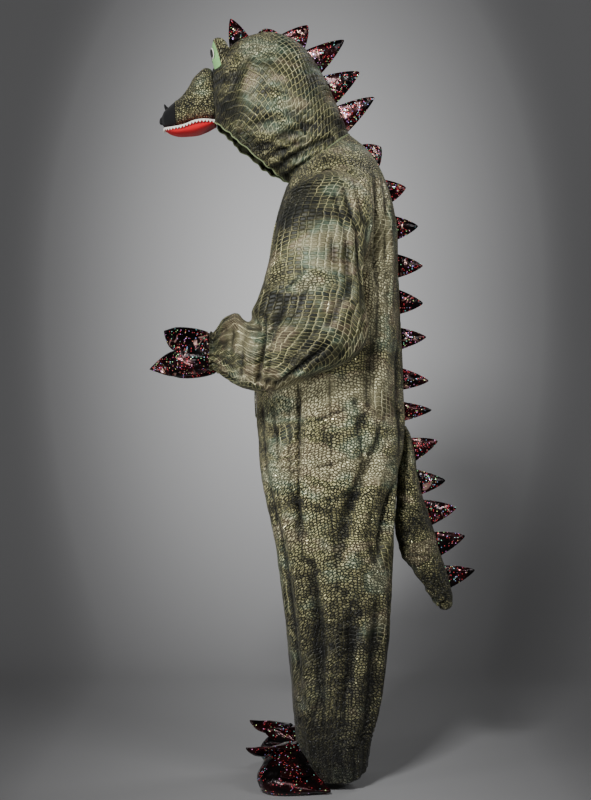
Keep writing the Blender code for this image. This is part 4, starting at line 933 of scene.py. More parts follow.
def foil_velour(name, on_cloth, plates):
    """Polyester velour, hot-embossed with reptile scales, under a worn foil print in bands of green and tan.

    The foil stays on the ridges between the large scales and on the tops of the small ones,
    so these catch the light.
    """
    made, tree, shader = new_material(name, Metallic=0.42, Sheen_Weight=0.05, Sheen_Roughness=0.4)
    place = add(tree, "ShaderNodeTexCoord").node.outputs["Object"]
    cloth = add(tree, "ShaderNodeUVMap", uv_map="cloth") if on_cloth else place
    warp = add(
        tree, "ShaderNodeTexNoise", {"Vector": cloth, "Scale": 12.0, "Detail": 2.0}
    ).node.outputs["Color"]
    shift = add(tree, "ShaderNodeVectorMath", {0: warp, "Scale": 0.014}, operation="SCALE")
    bent = add(tree, "ShaderNodeVectorMath", {0: cloth, 1: shift}, operation="ADD")
    flat = add(tree, "ShaderNodeMapping", {"Vector": bent, "Scale": (0.60, 1.0, 1.0)})
    # Plates about 16 x 10 mm, and pebbles about 9 x 6 mm, finer on padded pieces
    rows = {"Vector": flat, "Scale": 1 / (size("plate") * 0.60), "Randomness": 0.24}
    small = add(tree, "ShaderNodeMapping", {"Vector": bent, "Scale": (0.80, 1.15, 1.0)})
    grit = {"Vector": small, "Scale": (1.0 if on_cloth else 1.5) / size("pebble"), "Randomness": 0.8}
    flatness = "2D" if on_cloth else "3D"
    plate = add(tree, "ShaderNodeTexVoronoi", rows, voronoi_dimensions=flatness).node.outputs["Color"]
    plate_edge = add(
        tree, "ShaderNodeTexVoronoi", rows, voronoi_dimensions=flatness, feature="DISTANCE_TO_EDGE"
    )
    pebble = add(tree, "ShaderNodeTexVoronoi", grit, voronoi_dimensions=flatness).node.outputs["Color"]
    pebble_edge = add(
        tree, "ShaderNodeTexVoronoi", grit, voronoi_dimensions=flatness, feature="DISTANCE_TO_EDGE"
    )
    plate_shade = add(tree, "ShaderNodeSeparateColor", {0: plate})
    pebble_shade = add(tree, "ShaderNodeSeparateColor", {0: pebble})
    region = add(tree, "ShaderNodeTexNoise", {"Vector": cloth, "Scale": 5.5, "Detail": 1.0})
    start = 0.58 if plates else 0.36 if on_cloth else 0.10
    pebbly = add(
        tree, "ShaderNodeMapRange", {0: region, 1: start, 2: start + 0.07}, interpolation_type="SMOOTHSTEP"
    )

    broad = add(tree, "ShaderNodeMapping", {"Vector": place, "Scale": (0.9, 1.0, 2.1)})
    cloud = {"Vector": broad, "Scale": 8.0, "Detail": 4.0, "Roughness": 0.60, "Distortion": 0.3}
    level = add(
        tree, "ShaderNodeMapRange",
        {0: add(tree, "ShaderNodeTexNoise", cloud), 1: 0.34, 2: 0.66, 3: 0.26, 4: 0.80}
    )
    for x, z, half_x, half_z, shade in PRINT_PATCHES_AND_HIGHLIGHT:
        spot = {
            "Vector": broad, "Location": (-x / half_x, 0, -z / half_z),
            "Scale": (1 / half_x / 0.9, 0, 1 / half_z / 2.1)
        }
        away = add(
            tree, "ShaderNodeVectorMath", {0: add(tree, "ShaderNodeMapping", spot)}, operation="LENGTH"
        ).node.outputs[1]
        soft = add(
            tree, "ShaderNodeMapRange", {0: away, 1: 1.3, 2: 0.3, 3: 0.0, 4: shade},
            interpolation_type="SMOOTHSTEP"
        )
        level = add(tree, "ShaderNodeMath", {0: level, 1: soft}, operation="ADD")
    warm = add(
        tree, "ShaderNodeValToRGB", {0: level},
        ((0.30, "pit"), (0.44, "dark"), (0.56, "olive"), (0.68, "tan"), (0.84, "cream"))
    )
    cold = add(
        tree, "ShaderNodeValToRGB", {0: level},
        ((0.32, "pit"), (0.46, "dark"), (0.56, "teal"), (0.68, "mint"), (0.86, "cream"))
    )
    green = add(tree, "ShaderNodeTexNoise", {"Vector": place, "Scale": 11.0, "Detail": 3.0})
    choice = add(tree, "ShaderNodeMapRange", {0: green, 1: 0.45, 2: 0.57, 3: 0.0, 4: 0.90})
    print_colour = add(tree, "ShaderNodeMix", {0: choice, 6: warm, 7: cold}, data_type="RGBA")
    height = add(tree, "ShaderNodeSeparateXYZ", {0: place}).node.outputs[2]
    # The velour is darker towards the feet
    low = add(tree, "ShaderNodeMapRange", {0: height, 1: -1.36, 2: -0.76, 3: 0.07, 4: 1.0})

    ground = add(tree, "ShaderNodeMix", {0: 0.87, 6: print_colour, 7: colour("pit")}, data_type="RGBA")
    bright = add(
        tree, "ShaderNodeMix", {0: 0.92, 6: print_colour, 7: colour("foil")}, data_type="RGBA",
        blend_type="SCREEN"
    )
    line = add(tree, "ShaderNodeMapRange", {0: plate_edge, 1: 0.10, 2: 0.03, 3: 0.0, 4: 0.85})
    inside = add(tree, "ShaderNodeMapRange", {0: plate_shade, 1: 0.0, 2: 1.0, 3: 0.0, 4: 0.09})
    rubbed = add(tree, "ShaderNodeTexNoise", {"Vector": cloth, "Scale": 9.0, "Detail": 3.0})
    rubbed = add(tree, "ShaderNodeMapRange", {0: rubbed, 1: 0.38, 2: 0.62, 3: 0.20, 4: 1.0})
    line = add(tree, "ShaderNodeMath", {0: line, 1: rubbed}, operation="MULTIPLY")
    foil_wear_and_ridge_light = add(tree, "ShaderNodeMath", {0: line, 1: inside}, operation="MAXIMUM")
    top = add(tree, "ShaderNodeMapRange", {0: pebble_edge, 1: 0.06, 2: 0.22})
    spread = add(tree, "ShaderNodeMapRange", {0: pebble_shade, 1: 0.0, 2: 1.0, 3: 0.20, 4: 1.0})
    grit_share = add(tree, "ShaderNodeMath", {0: top, 1: spread}, operation="MULTIPLY")
    share = add(tree, "ShaderNodeMix", {0: pebbly, 6: foil_wear_and_ridge_light, 7: grit_share}, data_type="RGBA")
    # Pile that shows between the foil, drawn at 2 mm because its true grain of 0.3 mm is too fine to show
    pile = add(tree, "ShaderNodeTexNoise", {"Vector": place, "Scale": 480.0, "Detail": 2.0})
    patchy = add(tree, "ShaderNodeMapRange", {0: pile, 1: 0.36, 2: 0.64, 3: 0.45, 4: 1.15})
    share = add(tree, "ShaderNodeMath", {0: share, 1: patchy}, operation="MULTIPLY")
    # Ridges of the cloth's folds get more foil and creases less, and creases are darkened: a painted highlight
    # on the ridges and painted shade in the creases
    hollow = add(tree, "ShaderNodeAttribute", attribute_name="hollow").node.outputs["Fac"]
    foil_wear_and_ridge_light = add(tree, "ShaderNodeMapRange", {0: hollow, 1: -0.6, 2: 0.6, 3: 1.30, 4: 0.60})
    share = add(tree, "ShaderNodeMath", {0: share, 1: foil_wear_and_ridge_light}, operation="MULTIPLY", use_clamp=True)
    bare = add(tree, "ShaderNodeMapRange", {0: level, 1: 0.22, 2: 0.50, 3: 0.12, 4: 1.0})
    share = add(tree, "ShaderNodeMath", {0: share, 1: bare}, operation="MULTIPLY")
    # Painted shade: creases darkened down to a third of their colour
    shade = add(tree, "ShaderNodeMapRange", {0: hollow, 1: 0.15, 2: 1.0, 3: 1.0, 4: 0.34})
    mixed = add(tree, "ShaderNodeMix", {0: share, 6: ground, 7: bright}, data_type="RGBA")
    # The painted crease shade is multiplied into the darkening towards the feet
    low = add(tree, "ShaderNodeMath", {0: low, 1: shade}, operation="MULTIPLY")
    colour_with_painted_crease_shade = add(tree, "ShaderNodeMix", {0: 1.0, 6: mixed, 7: low}, data_type="RGBA", blend_type="MULTIPLY")
    tree.links.new(colour_with_painted_crease_shade, shader.inputs["Base Color"])
    gloss = add(tree, "ShaderNodeMapRange", {0: share, 1: 0.0, 2: 1.0, 3: 0.50, 4: 0.24})
    tree.links.new(gloss, shader.inputs["Roughness"])
    dome = add(tree, "ShaderNodeMix", {0: pebbly, 6: plate_edge, 7: pebble_edge}, data_type="RGBA")
    dome = add(tree, "ShaderNodeMath", {0: dome, 1: 0.22}, operation="MINIMUM")
    relief = add(tree, "ShaderNodeMath", {0: dome, 1: 4.0, 2: share}, operation="MULTIPLY_ADD")
    bump = add(tree, "ShaderNodeBump", {"Height": relief, "Distance": 0.0020, "Strength": 0.9})
    tree.links.new(bump, shader.inputs["Normal"])
    return made


def hologram_knit(name):
    """Dark red and black nylon knit with glued hologram foil dots, which flash in several colours."""
    made, tree, shader = new_material(name, Roughness=0.24, Metallic=0.70)
    place = add(tree, "ShaderNodeTexCoord").node.outputs["Object"]
    cell = add(
        tree, "ShaderNodeTexVoronoi", {"Vector": place, "Scale": 1 / size("dot"), "Randomness": 0.8}
    ).node
    parts = add(tree, "ShaderNodeSeparateColor", {0: cell.outputs["Color"]}).node.outputs
    cloud = add(tree, "ShaderNodeTexNoise", {"Vector": place, "Scale": 24.0, "Detail": 2.0})
    ground = add(tree, "ShaderNodeValToRGB", {0: cloud}, ((0.42, "black"), (0.60, "wine")))
    crumple = add(
        tree, "ShaderNodeTexNoise", {"Vector": place, "Scale": 38.0, "Detail": 2.0, "Distortion": 1.6}
    )
    # Painted reflection: pale streaks where the crumpled foil would mirror the lamps
    painted_reflection_mask = add(tree, "ShaderNodeMapRange", {0: crumple, 1: 0.60, 2: 0.70, 3: 0.0, 4: 0.75})
    height = add(tree, "ShaderNodeSeparateXYZ", {0: place}).node.outputs[2]
    # The feet are darker: few dots there, and the painted reflection streaks fade out towards them
    lively = add(tree, "ShaderNodeMapRange", {0: height, 1: -1.15, 2: -0.95})
    painted_reflection_mask = add(tree, "ShaderNodeMath", {0: painted_reflection_mask, 1: lively}, operation="MULTIPLY")
    ground = add(tree, "ShaderNodeMix", {0: painted_reflection_mask, 6: ground, 7: colour("glare")}, data_type="RGBA")
    hue = add(tree, "ShaderNodeCombineColor", {0: parts[0], 1: 0.60, 2: 1.0}, mode="HSV")
    plain = add(tree, "ShaderNodeMapRange", {0: parts[1], 1: 0.42, 2: 0.52})
    dots = add(tree, "ShaderNodeMix", {0: plain, 6: colour("ruby"), 7: hue}, data_type="RGBA")
    drift = add(tree, "ShaderNodeMath", {0: cloud, 1: 0.9, 2: -0.53}, operation="MULTIPLY_ADD")
    chance = add(tree, "ShaderNodeMath", {0: parts[2], 1: drift}, operation="ADD")
    chance = add(tree, "ShaderNodeMath", {0: lively, 1: 0.17, 2: chance}, operation="MULTIPLY_ADD")
    lit = add(tree, "ShaderNodeMapRange", {0: chance, 1: 0.80, 2: 0.86})
    dot = add(tree, "ShaderNodeMapRange", {0: cell.outputs["Distance"], 1: 0.42, 2: 0.34})
    share = add(tree, "ShaderNodeMath", {0: lit, 1: dot}, operation="MULTIPLY")
    mixed = add(tree, "ShaderNodeMix", {0: share, 6: ground, 7: dots}, data_type="RGBA")
    tree.links.new(mixed, shader.inputs["Base Color"])
    # A hologram dot sends lamp light on much more strongly than paint does, which a little glow stands for
    glow = add(tree, "ShaderNodeMath", {0: share, 1: 0.38}, operation="MULTIPLY")
    tree.links.new(glow, shader.inputs["Emission Strength"])
    tree.links.new(dots, shader.inputs["Emission Color"])
    tilt = add(tree, "ShaderNodeMath", {0: crumple, 1: 3.0, 2: share}, operation="MULTIPLY_ADD")
    bump = add(tree, "ShaderNodeBump", {"Height": tilt, "Distance": 0.0012, "Strength": 0.7})
    tree.links.new(bump, shader.inputs["Normal"])
    return made


def felt(name, tone, rough=0.92):
    """Pressed wool felt: matte, clouded, with fibres that show as a fine fuzz."""
    made, tree, shader = new_material(name, Roughness=rough, Sheen_Weight=0.08, Sheen_Roughness=0.5)
    shader.inputs["Specular IOR Level"].default_value = 0.25
    place = add(tree, "ShaderNodeTexCoord").node.outputs["Object"]
    fibre = add(
        tree, "ShaderNodeTexNoise", {"Vector": place, "Scale": 900.0, "Detail": 4.0, "Distortion": 1.2}
    )
    cloud = add(tree, "ShaderNodeTexNoise", {"Vector": place, "Scale": 60.0})
    both = add(tree, "ShaderNodeMath", {0: fibre, 1: 0.7, 2: 0.1}, operation="MULTIPLY_ADD")
    both = add(tree, "ShaderNodeMath", {0: cloud, 1: 0.4, 2: both}, operation="MULTIPLY_ADD")
    shade = (*[part * 0.62 for part in colour(tone)[:3]], 1)
    mixed = add(tree, "ShaderNodeMix", {0: both, 6: shade, 7: colour(tone)}, data_type="RGBA")
    tree.links.new(mixed, shader.inputs["Base Color"])
    bump = add(tree, "ShaderNodeBump", {"Height": fibre, "Distance": 0.0006, "Strength": 0.6})
    tree.links.new(bump, shader.inputs["Normal"])
    return made


MATERIALS = {}


def make_materials():
    MATERIALS["plate_velour"] = foil_velour("foil velour embossed with plates", True, True)
    MATERIALS["pebble_velour"] = foil_velour("foil velour embossed with pebbles", True, False)
    MATERIALS["padded_velour"] = foil_velour("foil velour over stuffing", False, False)
    MATERIALS["sparkle_cloth"] = hologram_knit("hologram dot knit")
    felts = (("edge_velour", "edge"), ("red_felt", "red"), ("white_felt", "ivory"), ("green_felt", "leaf"))
    MATERIALS["reverse"] = felt("plain knit back of the velour", "reverse")
    for slot, tone in (*felts, ("black_felt", "ink"), ("thread", "thread")):
        MATERIALS[slot] = felt(f"{tone} {'polyester thread' if slot == 'thread' else 'pressed felt'}", tone)


def solidify_piece(piece, wall):
    """Gives an open cloth its thickness, inwards."""
    bpy.ops.object.select_all(action="DESELECT")
    bpy.context.view_layer.objects.active = piece
    piece.select_set(True)
    solidify = piece.modifiers.new("wall", "SOLIDIFY")
    solidify.thickness, solidify.offset = wall, -1
    if len(piece.data.materials) > 1:
        solidify.material_offset = 1
    bpy.ops.object.modifier_apply(modifier="wall")
    piece.data.set_sharp_from_angle(angle=math.radians(60))


def finish_piece(name, points, faces, material, nodes=(), uv=None, wall=None, outward=None, hollow=None):
    """Makes a mesh object with its wall, finish and body, and hides the nodes that it stands for."""
    data = bpy.data.meshes.new(name)
    faces = [list(map(int, face)) for face in faces]
    if outward is not None:
        corners = points[np.array([face[:3] for face in faces])]
        normal = np.cross(corners[:, 1] - corners[:, 0], corners[:, 2] - corners[:, 0])
        if (normal * outward[[face[0] for face in faces]]).sum() < 0:
            faces = [face[::-1] for face in faces]
            uv = None if uv is None else [row[::-1] for row in uv]
    data.from_pydata(points.tolist(), [], faces)
    if uv is not None:
        layer = data.uv_layers.new(name="cloth")
        layer.data.foreach_set("uv", np.array([pair for row in uv for pair in row], float).ravel())
    if hollow is not None:
        data.attributes.new("hollow", "FLOAT", "POINT").data.foreach_set(
            "value", hollow.ravel().astype(np.float32)
        )
    data.materials.append(MATERIALS[material])
    if wall and "velour" in material:
        data.materials.append(MATERIALS["reverse"])
    data.shade_smooth()
    made = bpy.data.objects.new(name, data)
    bpy.context.scene.collection.objects.link(made)
    if wall:
        solidify_piece(made, wall)
    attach(made, "root")
    if nodes:
        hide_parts(*nodes)
    return made


def grid_faces(rows, columns, ring=False):
    steps = columns if ring else columns - 1
    return [
        (
            i * columns + j, i * columns + (j + 1) % columns, (i + 1) * columns + (j + 1) % columns,
            (i + 1) * columns + j
        )
        for i in range(rows - 1)
        for j in range(steps)
    ]


def grid_uv(u, v):
    rows, columns = u.shape
    steps = columns - 1
    uv = []
    for i in range(rows - 1):
        for j in range(steps):
            uv.append(
                [
                    (u[i, j], v[i, j]), (u[i, j + 1], v[i, j + 1]), (u[i + 1, j + 1], v[i + 1, j + 1]),
                    (u[i + 1, j], v[i + 1, j])
                ]
            )
    return uv


def hollows(grid, normal, ring=False):
    """How far each point lies below its neighbours, 1 for a deep crease and -1 for a ridge."""
    total = np.zeros(grid.shape[:2])
    for reach in (1, 3, 6):
        rows = np.pad(grid, ((reach, reach), (0, 0), (0, 0)), mode="edge")
        columns = np.pad(grid, ((0, 0), (reach, reach), (0, 0)), mode="wrap" if ring else "edge")
        down = (rows[2 * reach :] + rows[: -2 * reach]) / 2 - grid
        along = (columns[:, 2 * reach :] + columns[:, : -2 * reach]) / 2 - grid
        total += ((down + along) * normal).sum(-1) / (0.0009 * reach**1.2)
    return np.clip(total / 3 + 0.12, -1, 1)


def sewn_cloth(name, grid, normal, side, material, nodes, u_from_end=False, ring=False, turn=0.0, wall=None):
    """A cloth panel from a grid of its outer points, with a pattern that follows the cloth in metres."""
    sign = np.array([1, SIDES[side], 1])
    closed = np.concatenate([grid, grid[:, :1]], axis=1) if ring else grid
    u, v = lengths_along(closed, 1), lengths_along(closed, 0)
    u = u - u[:, -1:] if u_from_end else u
    u, v = u * math.cos(turn) - v * math.sin(turn), u * math.sin(turn) + v * math.cos(turn)
    rows, columns = grid.shape[:2]
    uv = grid_uv(u + FOLD_SEEDS[side], v)
    points = (grid * sign).reshape(-1, 3)
    wall = size("wall") if wall is None else wall
    deep = hollows(grid, unit(normal), ring)
    faces = grid_faces(rows, columns, ring)
    return finish_piece(name, points, faces, material, nodes, uv, wall, (normal * sign).reshape(-1, 3), deep)


def padded_form(name, rings, side, material, nodes):
    """A closed stuffed form through rings of points, its ends closed by fans."""
    rings = rings * np.array([1, SIDES.get(side, 1), 1])
    rows, count = rings.shape[:2]
    ends = [rings[0].mean(axis=0), rings[-1].mean(axis=0)]
    points = np.concatenate([rings.reshape(-1, 3), ends])
    faces = grid_faces(rows, count, True)
    faces += [((j + 1) % count, j, rows * count) for j in range(count)]
    last = (rows - 1) * count
    faces += [(last + j, last + (j + 1) % count, rows * count + 1) for j in range(count)]
    out = rings - rings.mean(axis=1, keepdims=True)
    outward = np.concatenate([out.reshape(-1, 3), [ends[0] - ends[1], ends[1] - ends[0]]])
    deep = np.append(hollows(rings, unit(out + 1e-9), True), [0, 0])
    return finish_piece(name, points, faces, material, nodes, None, None, outward, deep)


def two_layers(name, outer, inner, side, material, nodes):
    """A padded shape of two layers sewn round their edge, from two grids of points."""
    rows, columns = outer.shape[:2]
    path = [(0, j) for j in range(columns)] + [(i, columns - 1) for i in range(1, rows)]
    path += [(rows - 1, j) for j in range(columns - 2, -1, -1)] + [(i, 0) for i in range(rows - 2, 0, -1)]
    half = rows * columns
    faces = grid_faces(rows, columns) + [
        tuple(half + k for k in face[::-1]) for face in grid_faces(rows, columns)
    ]
    ring = [i * columns + j for i, j in path]
    faces += [(b, a, a + half, b + half) for a, b in zip(ring, ring[1:] + ring[:1])]
    sign = np.array([1, SIDES.get(side, 1), 1])
    points = np.concatenate([outer.reshape(-1, 3), inner.reshape(-1, 3)]) * sign
    outward = np.concatenate([(outer - inner).reshape(-1, 3), (inner - outer).reshape(-1, 3)]) * sign
    return finish_piece(name, points, faces, material, nodes, None, None, outward)


def make_body():
    # Rows from the neck (0) to the underarm (1), the crotch (2), the ankle (2.86) and the hem (3)
    spans = ((0, 1, 46), (1, 2, 84), (2, 2.86, 110))
    levels = [np.linspace(*span)[:-1] for span in spans]
    levels = np.concatenate([*levels, np.linspace(2.86, 3, 28)])
    for side in SIDES:
        for back in (False, True):
            start, end = inner_angle(levels), 90 - armhole_angle(levels)
            if back:
                start, end = 180 - start, 180 - end
            share = np.linspace(0, 1, BODY_COLUMNS + 1)
            angle = start[:, None] + (end - start)[:, None] * share
            level = levels[:, None] + 0 * angle
            points, normal = body_points(angle, level), body_normals(angle, level)
            large, fine = body_relief(angle, points, level, side)
            run = lengths_along(points, 1)
            hole = ((level > ARMHOLE_TOP) & (level < 1)) * np.exp(-(((run[:, -1:] - run) / 0.016) ** 2))
            fine = fine * (1 - hole) * ease(level / 0.12 + 0.05)
            shift = large + fine + seam_valley(points) + drapes(
                points, normal[..., 1], BODY_DRAPES, side
            ) * (1 - hole)
            grid = points + normal * shift[..., None]
            name = "back" if back else "front"
            made = sewn_cloth(
                f"{name}_panel_{side}", grid, normal, side, "pebble_velour", [f"{name}_{side}"],
                u_from_end=True
            )
            declare_sheet(made, grid, "hung", ["hood_panel_" + side])


SHEETS = []


def declare_sheet(piece, grid, held, rests_on):
    """Notes a cloth panel's flat width, length and area, to be printed once all the pieces are made."""
    a, b, c, d = grid[:-1, :-1], grid[1:, :-1], grid[1:, 1:], grid[:-1, 1:]
    area = (
        np.linalg.norm(np.cross(b - a, c - a), axis=-1) + np.linalg.norm(np.cross(c - a, d - a), axis=-1)
    ).sum() / 2
    width, length = lengths_along(grid, 1)[:, -1].max(), lengths_along(grid, 0)[-1].max()
    SHEETS.append((piece, (float(width), float(length)), held, rests_on, float(min(area, width * length))))


def make_sleeves():
    for side in SIDES:
        grid, normal = sleeve_grid(side)
        made = sewn_cloth(
            f"sleeve_panel_{side}", grid, normal, side, "plate_velour", [f"sleeve_{side}"], ring=True
        )
        declare_sheet(made, np.concatenate([grid, grid[:, :1]], axis=1), "gathered", ["front_panel_" + side])


def make_hood():
    across, along = np.meshgrid(np.linspace(0, 1, HOOD_FINE[0] + 1), np.linspace(0, 1, HOOD_FINE[1] + 1))
    for side in SIDES:
        grid, normal = hood_shell(across, along, 0.0, hood_relief(side))
        grid = grid + normal * seam_valley(grid, True, False)[..., None]
        made = sewn_cloth(
            f"hood_panel_{side}", grid, normal, side, "plate_velour", [f"hood_{side}"], turn=math.radians(38)
        )
        declare_sheet(made, grid, "hung", ["front_panel_" + side])


def make_foot_covers():
    across, along = np.meshgrid(*(np.linspace(0, 1, count) for count in FOOT_COVER_FINE))
    for side in SIDES:
        grid, normal = foot_shell(across, along)
        mirror = grid * np.array([1, SIDES[side], 1])
        fine = 0.0025 * ripple(mirror, 0.03, 15) + 0.0008 * ripple(mirror, 0.012, 16)
        grid = grid + normal * (fine * ease(along / 0.2) * ease((1 - along) / 0.15))[..., None]
        made = sewn_cloth(
            f"foot_cover_cloth_{side}", grid, normal, side, "sparkle_cloth", [f"foot_cover_{side}"]
        )
        declare_sheet(made, grid, "hung", ["front_panel_" + side])


def make_stage():
    """Paper floor that sweeps up into a backdrop, with a pool of light painted in its middle, four soft lamps
    and the camera.
    """
    floor = -FLOOR - 0.001
    bpy.ops.object.select_all(action="DESELECT")
    bpy.ops.mesh.primitive_plane_add(size=1, location=(0, 0, 0))
    sweep = bpy.context.object
    sweep.name = "studio_sweep"
    bpy.ops.object.mode_set(mode="EDIT")
    bpy.ops.transform.resize(value=(PAPER_WIDTH, PAPER_DEPTH, 1))
    bpy.ops.transform.translate(value=(0, -PAPER_FORWARD, floor))
    bpy.ops.mesh.select_mode(type="EDGE")
    for height in (PAPER_HEIGHT, 0):
        bpy.ops.object.mode_set(mode="OBJECT")
        for edge in sweep.data.edges:
            ends = [sweep.data.vertices[k].co for k in edge.vertices]
            edge.select = all(end.y > 2.7 and end.z < floor + 0.1 for end in ends)
        bpy.ops.object.mode_set(mode="EDIT")
        if height:
            bpy.ops.mesh.extrude_region_move(TRANSFORM_OT_translate={"value": (0, 0, height)})
        else:
            bpy.ops.mesh.bevel(offset=PAPER_BEND, segments=16, affect="EDGES")
    bpy.ops.object.mode_set(mode="OBJECT")
    bpy.ops.object.shade_smooth()
    # Matte seamless paper with a painted pool of light: lighter in the middle and darker towards its edges
    made, tree, shader = new_material("seamless backdrop paper", Roughness=0.95)
    place = add(tree, "ShaderNodeTexCoord").node.outputs["Object"]
    spot = {"Vector": place, "Location": (0.08, 0, 0.08), "Scale": (0.84, 0, 0.50)}
    away = add(
        tree, "ShaderNodeVectorMath", {0: add(tree, "ShaderNodeMapping", spot)}, operation="LENGTH"
    ).node.outputs[1]
    stops = ((0.0, "paper_light"), (0.38, "paper_mid"), (0.80, "paper_dark"))
    paper = add(tree, "ShaderNodeValToRGB", {0: away}, stops)
    paper.node.color_ramp.interpolation = "B_SPLINE"
    tree.links.new(paper, shader.inputs["Base Color"])
    # A camera behind the wall looks through it
    behind = add(tree, "ShaderNodeNewGeometry").node.outputs["Backfacing"]
    open_back = add(tree, "ShaderNodeBsdfTransparent")
    seen = add(tree, "ShaderNodeMixShader", {0: behind, 1: open_back, 2: shader.outputs[0]})
    tree.links.new(seen, tree.nodes["Material Output"].inputs["Surface"])
    sweep.data.materials.clear()
    sweep.data.materials.append(made)
    world = bpy.context.scene.world or bpy.data.worlds.new("World")
    bpy.context.scene.world = world
    world.use_nodes = True
    world.node_tree.nodes["Background"].inputs[0].default_value = (0.5, 0.5, 0.52, 1)
    world.node_tree.nodes["Background"].inputs[1].default_value = 0.28
    lamps = (
        ("key", (-1.1, -3.9, 1.6), (0.0, 0, -0.50), 245, 0.7),
        ("fill", (2.3, -3.2, 0.9), (0, 0, -0.5), 62, 1.4),
        ("front", (-1.9, -1.5, -1.1), (-0.2, 0, 0.0), 34, 0.6),
        ("rim", (1.9, 1.6, 1.9), (0, 0, -0.4), 20, 0.8),
    )
    for name, place, aim, watts, width in lamps:
        light = bpy.data.lights.new(name, "AREA")
        light.energy, light.size = watts, width
        lamp = bpy.data.objects.new(name, light)
        lamp.location = place
        lamp.rotation_euler = (Vector(aim) - Vector(place)).to_track_quat("-Z", "Y").to_euler()
        bpy.context.scene.collection.objects.link(lamp)
    data = bpy.data.cameras.new("camera")
    data.lens = data.sensor_width / 2 / (0.92 / 4.2)
    camera = bpy.data.objects.new("camera", data)
    camera.location = (-0.0909, -4.2, -0.552)
    camera.rotation_euler = (math.pi / 2, 0, 0)
    bpy.context.scene.collection.objects.link(camera)
    bpy.context.scene.camera = camera


def arc(line):
    return np.concatenate([[0.0], np.cumsum(np.linalg.norm(np.diff(line, axis=0), axis=1))])


def along_line(line, places):
    lengths = arc(line)
    return np.stack([np.interp(places, lengths, line[:, k]) for k in range(3)], axis=-1)


def back_line():
    """Centre back seam, from the neck to the seat."""
    level = np.linspace(0, 1.9, 400)
    angle = 180 - inner_angle(level)
    points, normal = body_points(angle, level), body_normals(angle, level)
    return points + normal * folded(angle, -points[:, 2], BODY_FOLDS)[:, None]


def tail_line():
    return smooth(
        np.arange(len(TAIL)), np.array([(cut.low_x, 0, cut.low_z) for cut in TAIL]),
        np.linspace(0, len(TAIL) - 1, 300)
    )


def crown_line():
    return hood_shell(np.zeros(CROWN_POINTS), np.linspace(0, 1, CROWN_POINTS))[0]


SPIKE_LINES = {
    "hood": (crown_line, HOOD_SPIKES), "back": (back_line, BACK_SPIKES), "tail": (tail_line, TAIL_SPIKES)
}
SUNK = 0.0022


def spike_layers(line, row, seed):
    """Two puffed layers of a spike, its base sewn into a seam line; a lean bends it over to one side."""
    samples = np.linspace(0, arc(line)[-1], 1500)
    spots = along_line(line, samples)
    ends = []
    for x, z in ((row.base_x0, row.base_z0), (row.base_x1, row.base_z1)):
        away = np.abs(spots[:, 2] - z) if x == 0 else np.hypot(spots[:, 0] - x, spots[:, 2] - z)
        ends.append(samples[np.argmin(away)])
    base = along_line(line, np.linspace(ends[0], ends[1], 17))
    tangent = unit(np.gradient(base, axis=0))
    base = base + stack(-tangent[:, 2], 0, tangent[:, 0]) * -SUNK
    middle = (base[0] + base[-1]) / 2
    chord = unit(base[-1] - base[0])
    reach = np.array([row.tip_x, 0, row.tip_z]) - middle
    upright = reach - chord * reach.dot(chord)
    height, outward = np.linalg.norm(upright) * 1.05, unit(upright)
    crossing = np.linspace(-1, 1, len(base))
    right, left, place, before = [], [], middle.copy(), 0.0
    for share in np.linspace(0, 0.985, 22):
        bend = math.radians(row.lean) * ease(share * 4.5)
        place = place + (
            outward * math.cos(bend) + np.array([0, math.sin(bend), 0])
        ) * height * (share - before)
        before = share
        across = np.array([0, math.cos(bend), 0]) - outward * math.sin(bend)
        width = (1 - share) ** 0.80 * (1 + 0.20 * share) + 0.012
        spot = place + chord * reach.dot(chord) * share + (base - middle) * width
        puff = SPIKE_THICKNESS * 1.15 * (1 - crossing**2) ** 0.8 * math.sin(math.pi * (0.10 + 0.88 * share))
        dent = 1 + 0.55 * ripple(spot, 0.022, seed)
        curl = 0.004 * share**2 * math.sin(seed * 2.1)
        half = (SPIKE_EDGE / 2 + puff / 2 * dent)[:, None]
        right.append(spot + across * (half + curl))
        left.append(spot - across * (half - curl))
    return np.array(right), np.array(left)


def make_spikes():
    seed = 30
    for group, (line_of, rows) in SPIKE_LINES.items():
        line = line_of()
        for number, row in enumerate(rows, 1):
            seed += 1
            right, left = spike_layers(line, row, seed)
            two_layers(
                f"{group}_spike_cloth_{number}", right, left, "right", "sparkle_cloth",
                [f"{group}_spike_{number}"]
            )


def pushed(rings, shift):
    """Rings of a form moved out along their own normals."""
    around = np.roll(rings, -1, axis=1) - np.roll(rings, 1, axis=1)
    normal = unit(np.cross(around, np.gradient(rings, axis=0)))
    facing = ((rings - rings.mean(axis=1, keepdims=True)) * normal).sum(-1, keepdims=True)
    return rings + np.where(facing >= 0, normal, -normal) * shift[..., None]


def rounded_end(rings, reach, steps=7):
    """Adds shrinking rings past the last one, so that a stuffed end is round."""
    last = rings[-1]
    middle, ahead = last.mean(axis=0), unit(last.mean(axis=0) - rings[-4].mean(axis=0))
    turns = np.linspace(0, math.pi / 2, steps + 1)[1:]
    extra = [middle + (last - middle) * math.cos(t) * 0.999 + ahead * reach * math.sin(t) for t in turns]
    return np.concatenate([rings, np.array(extra)])


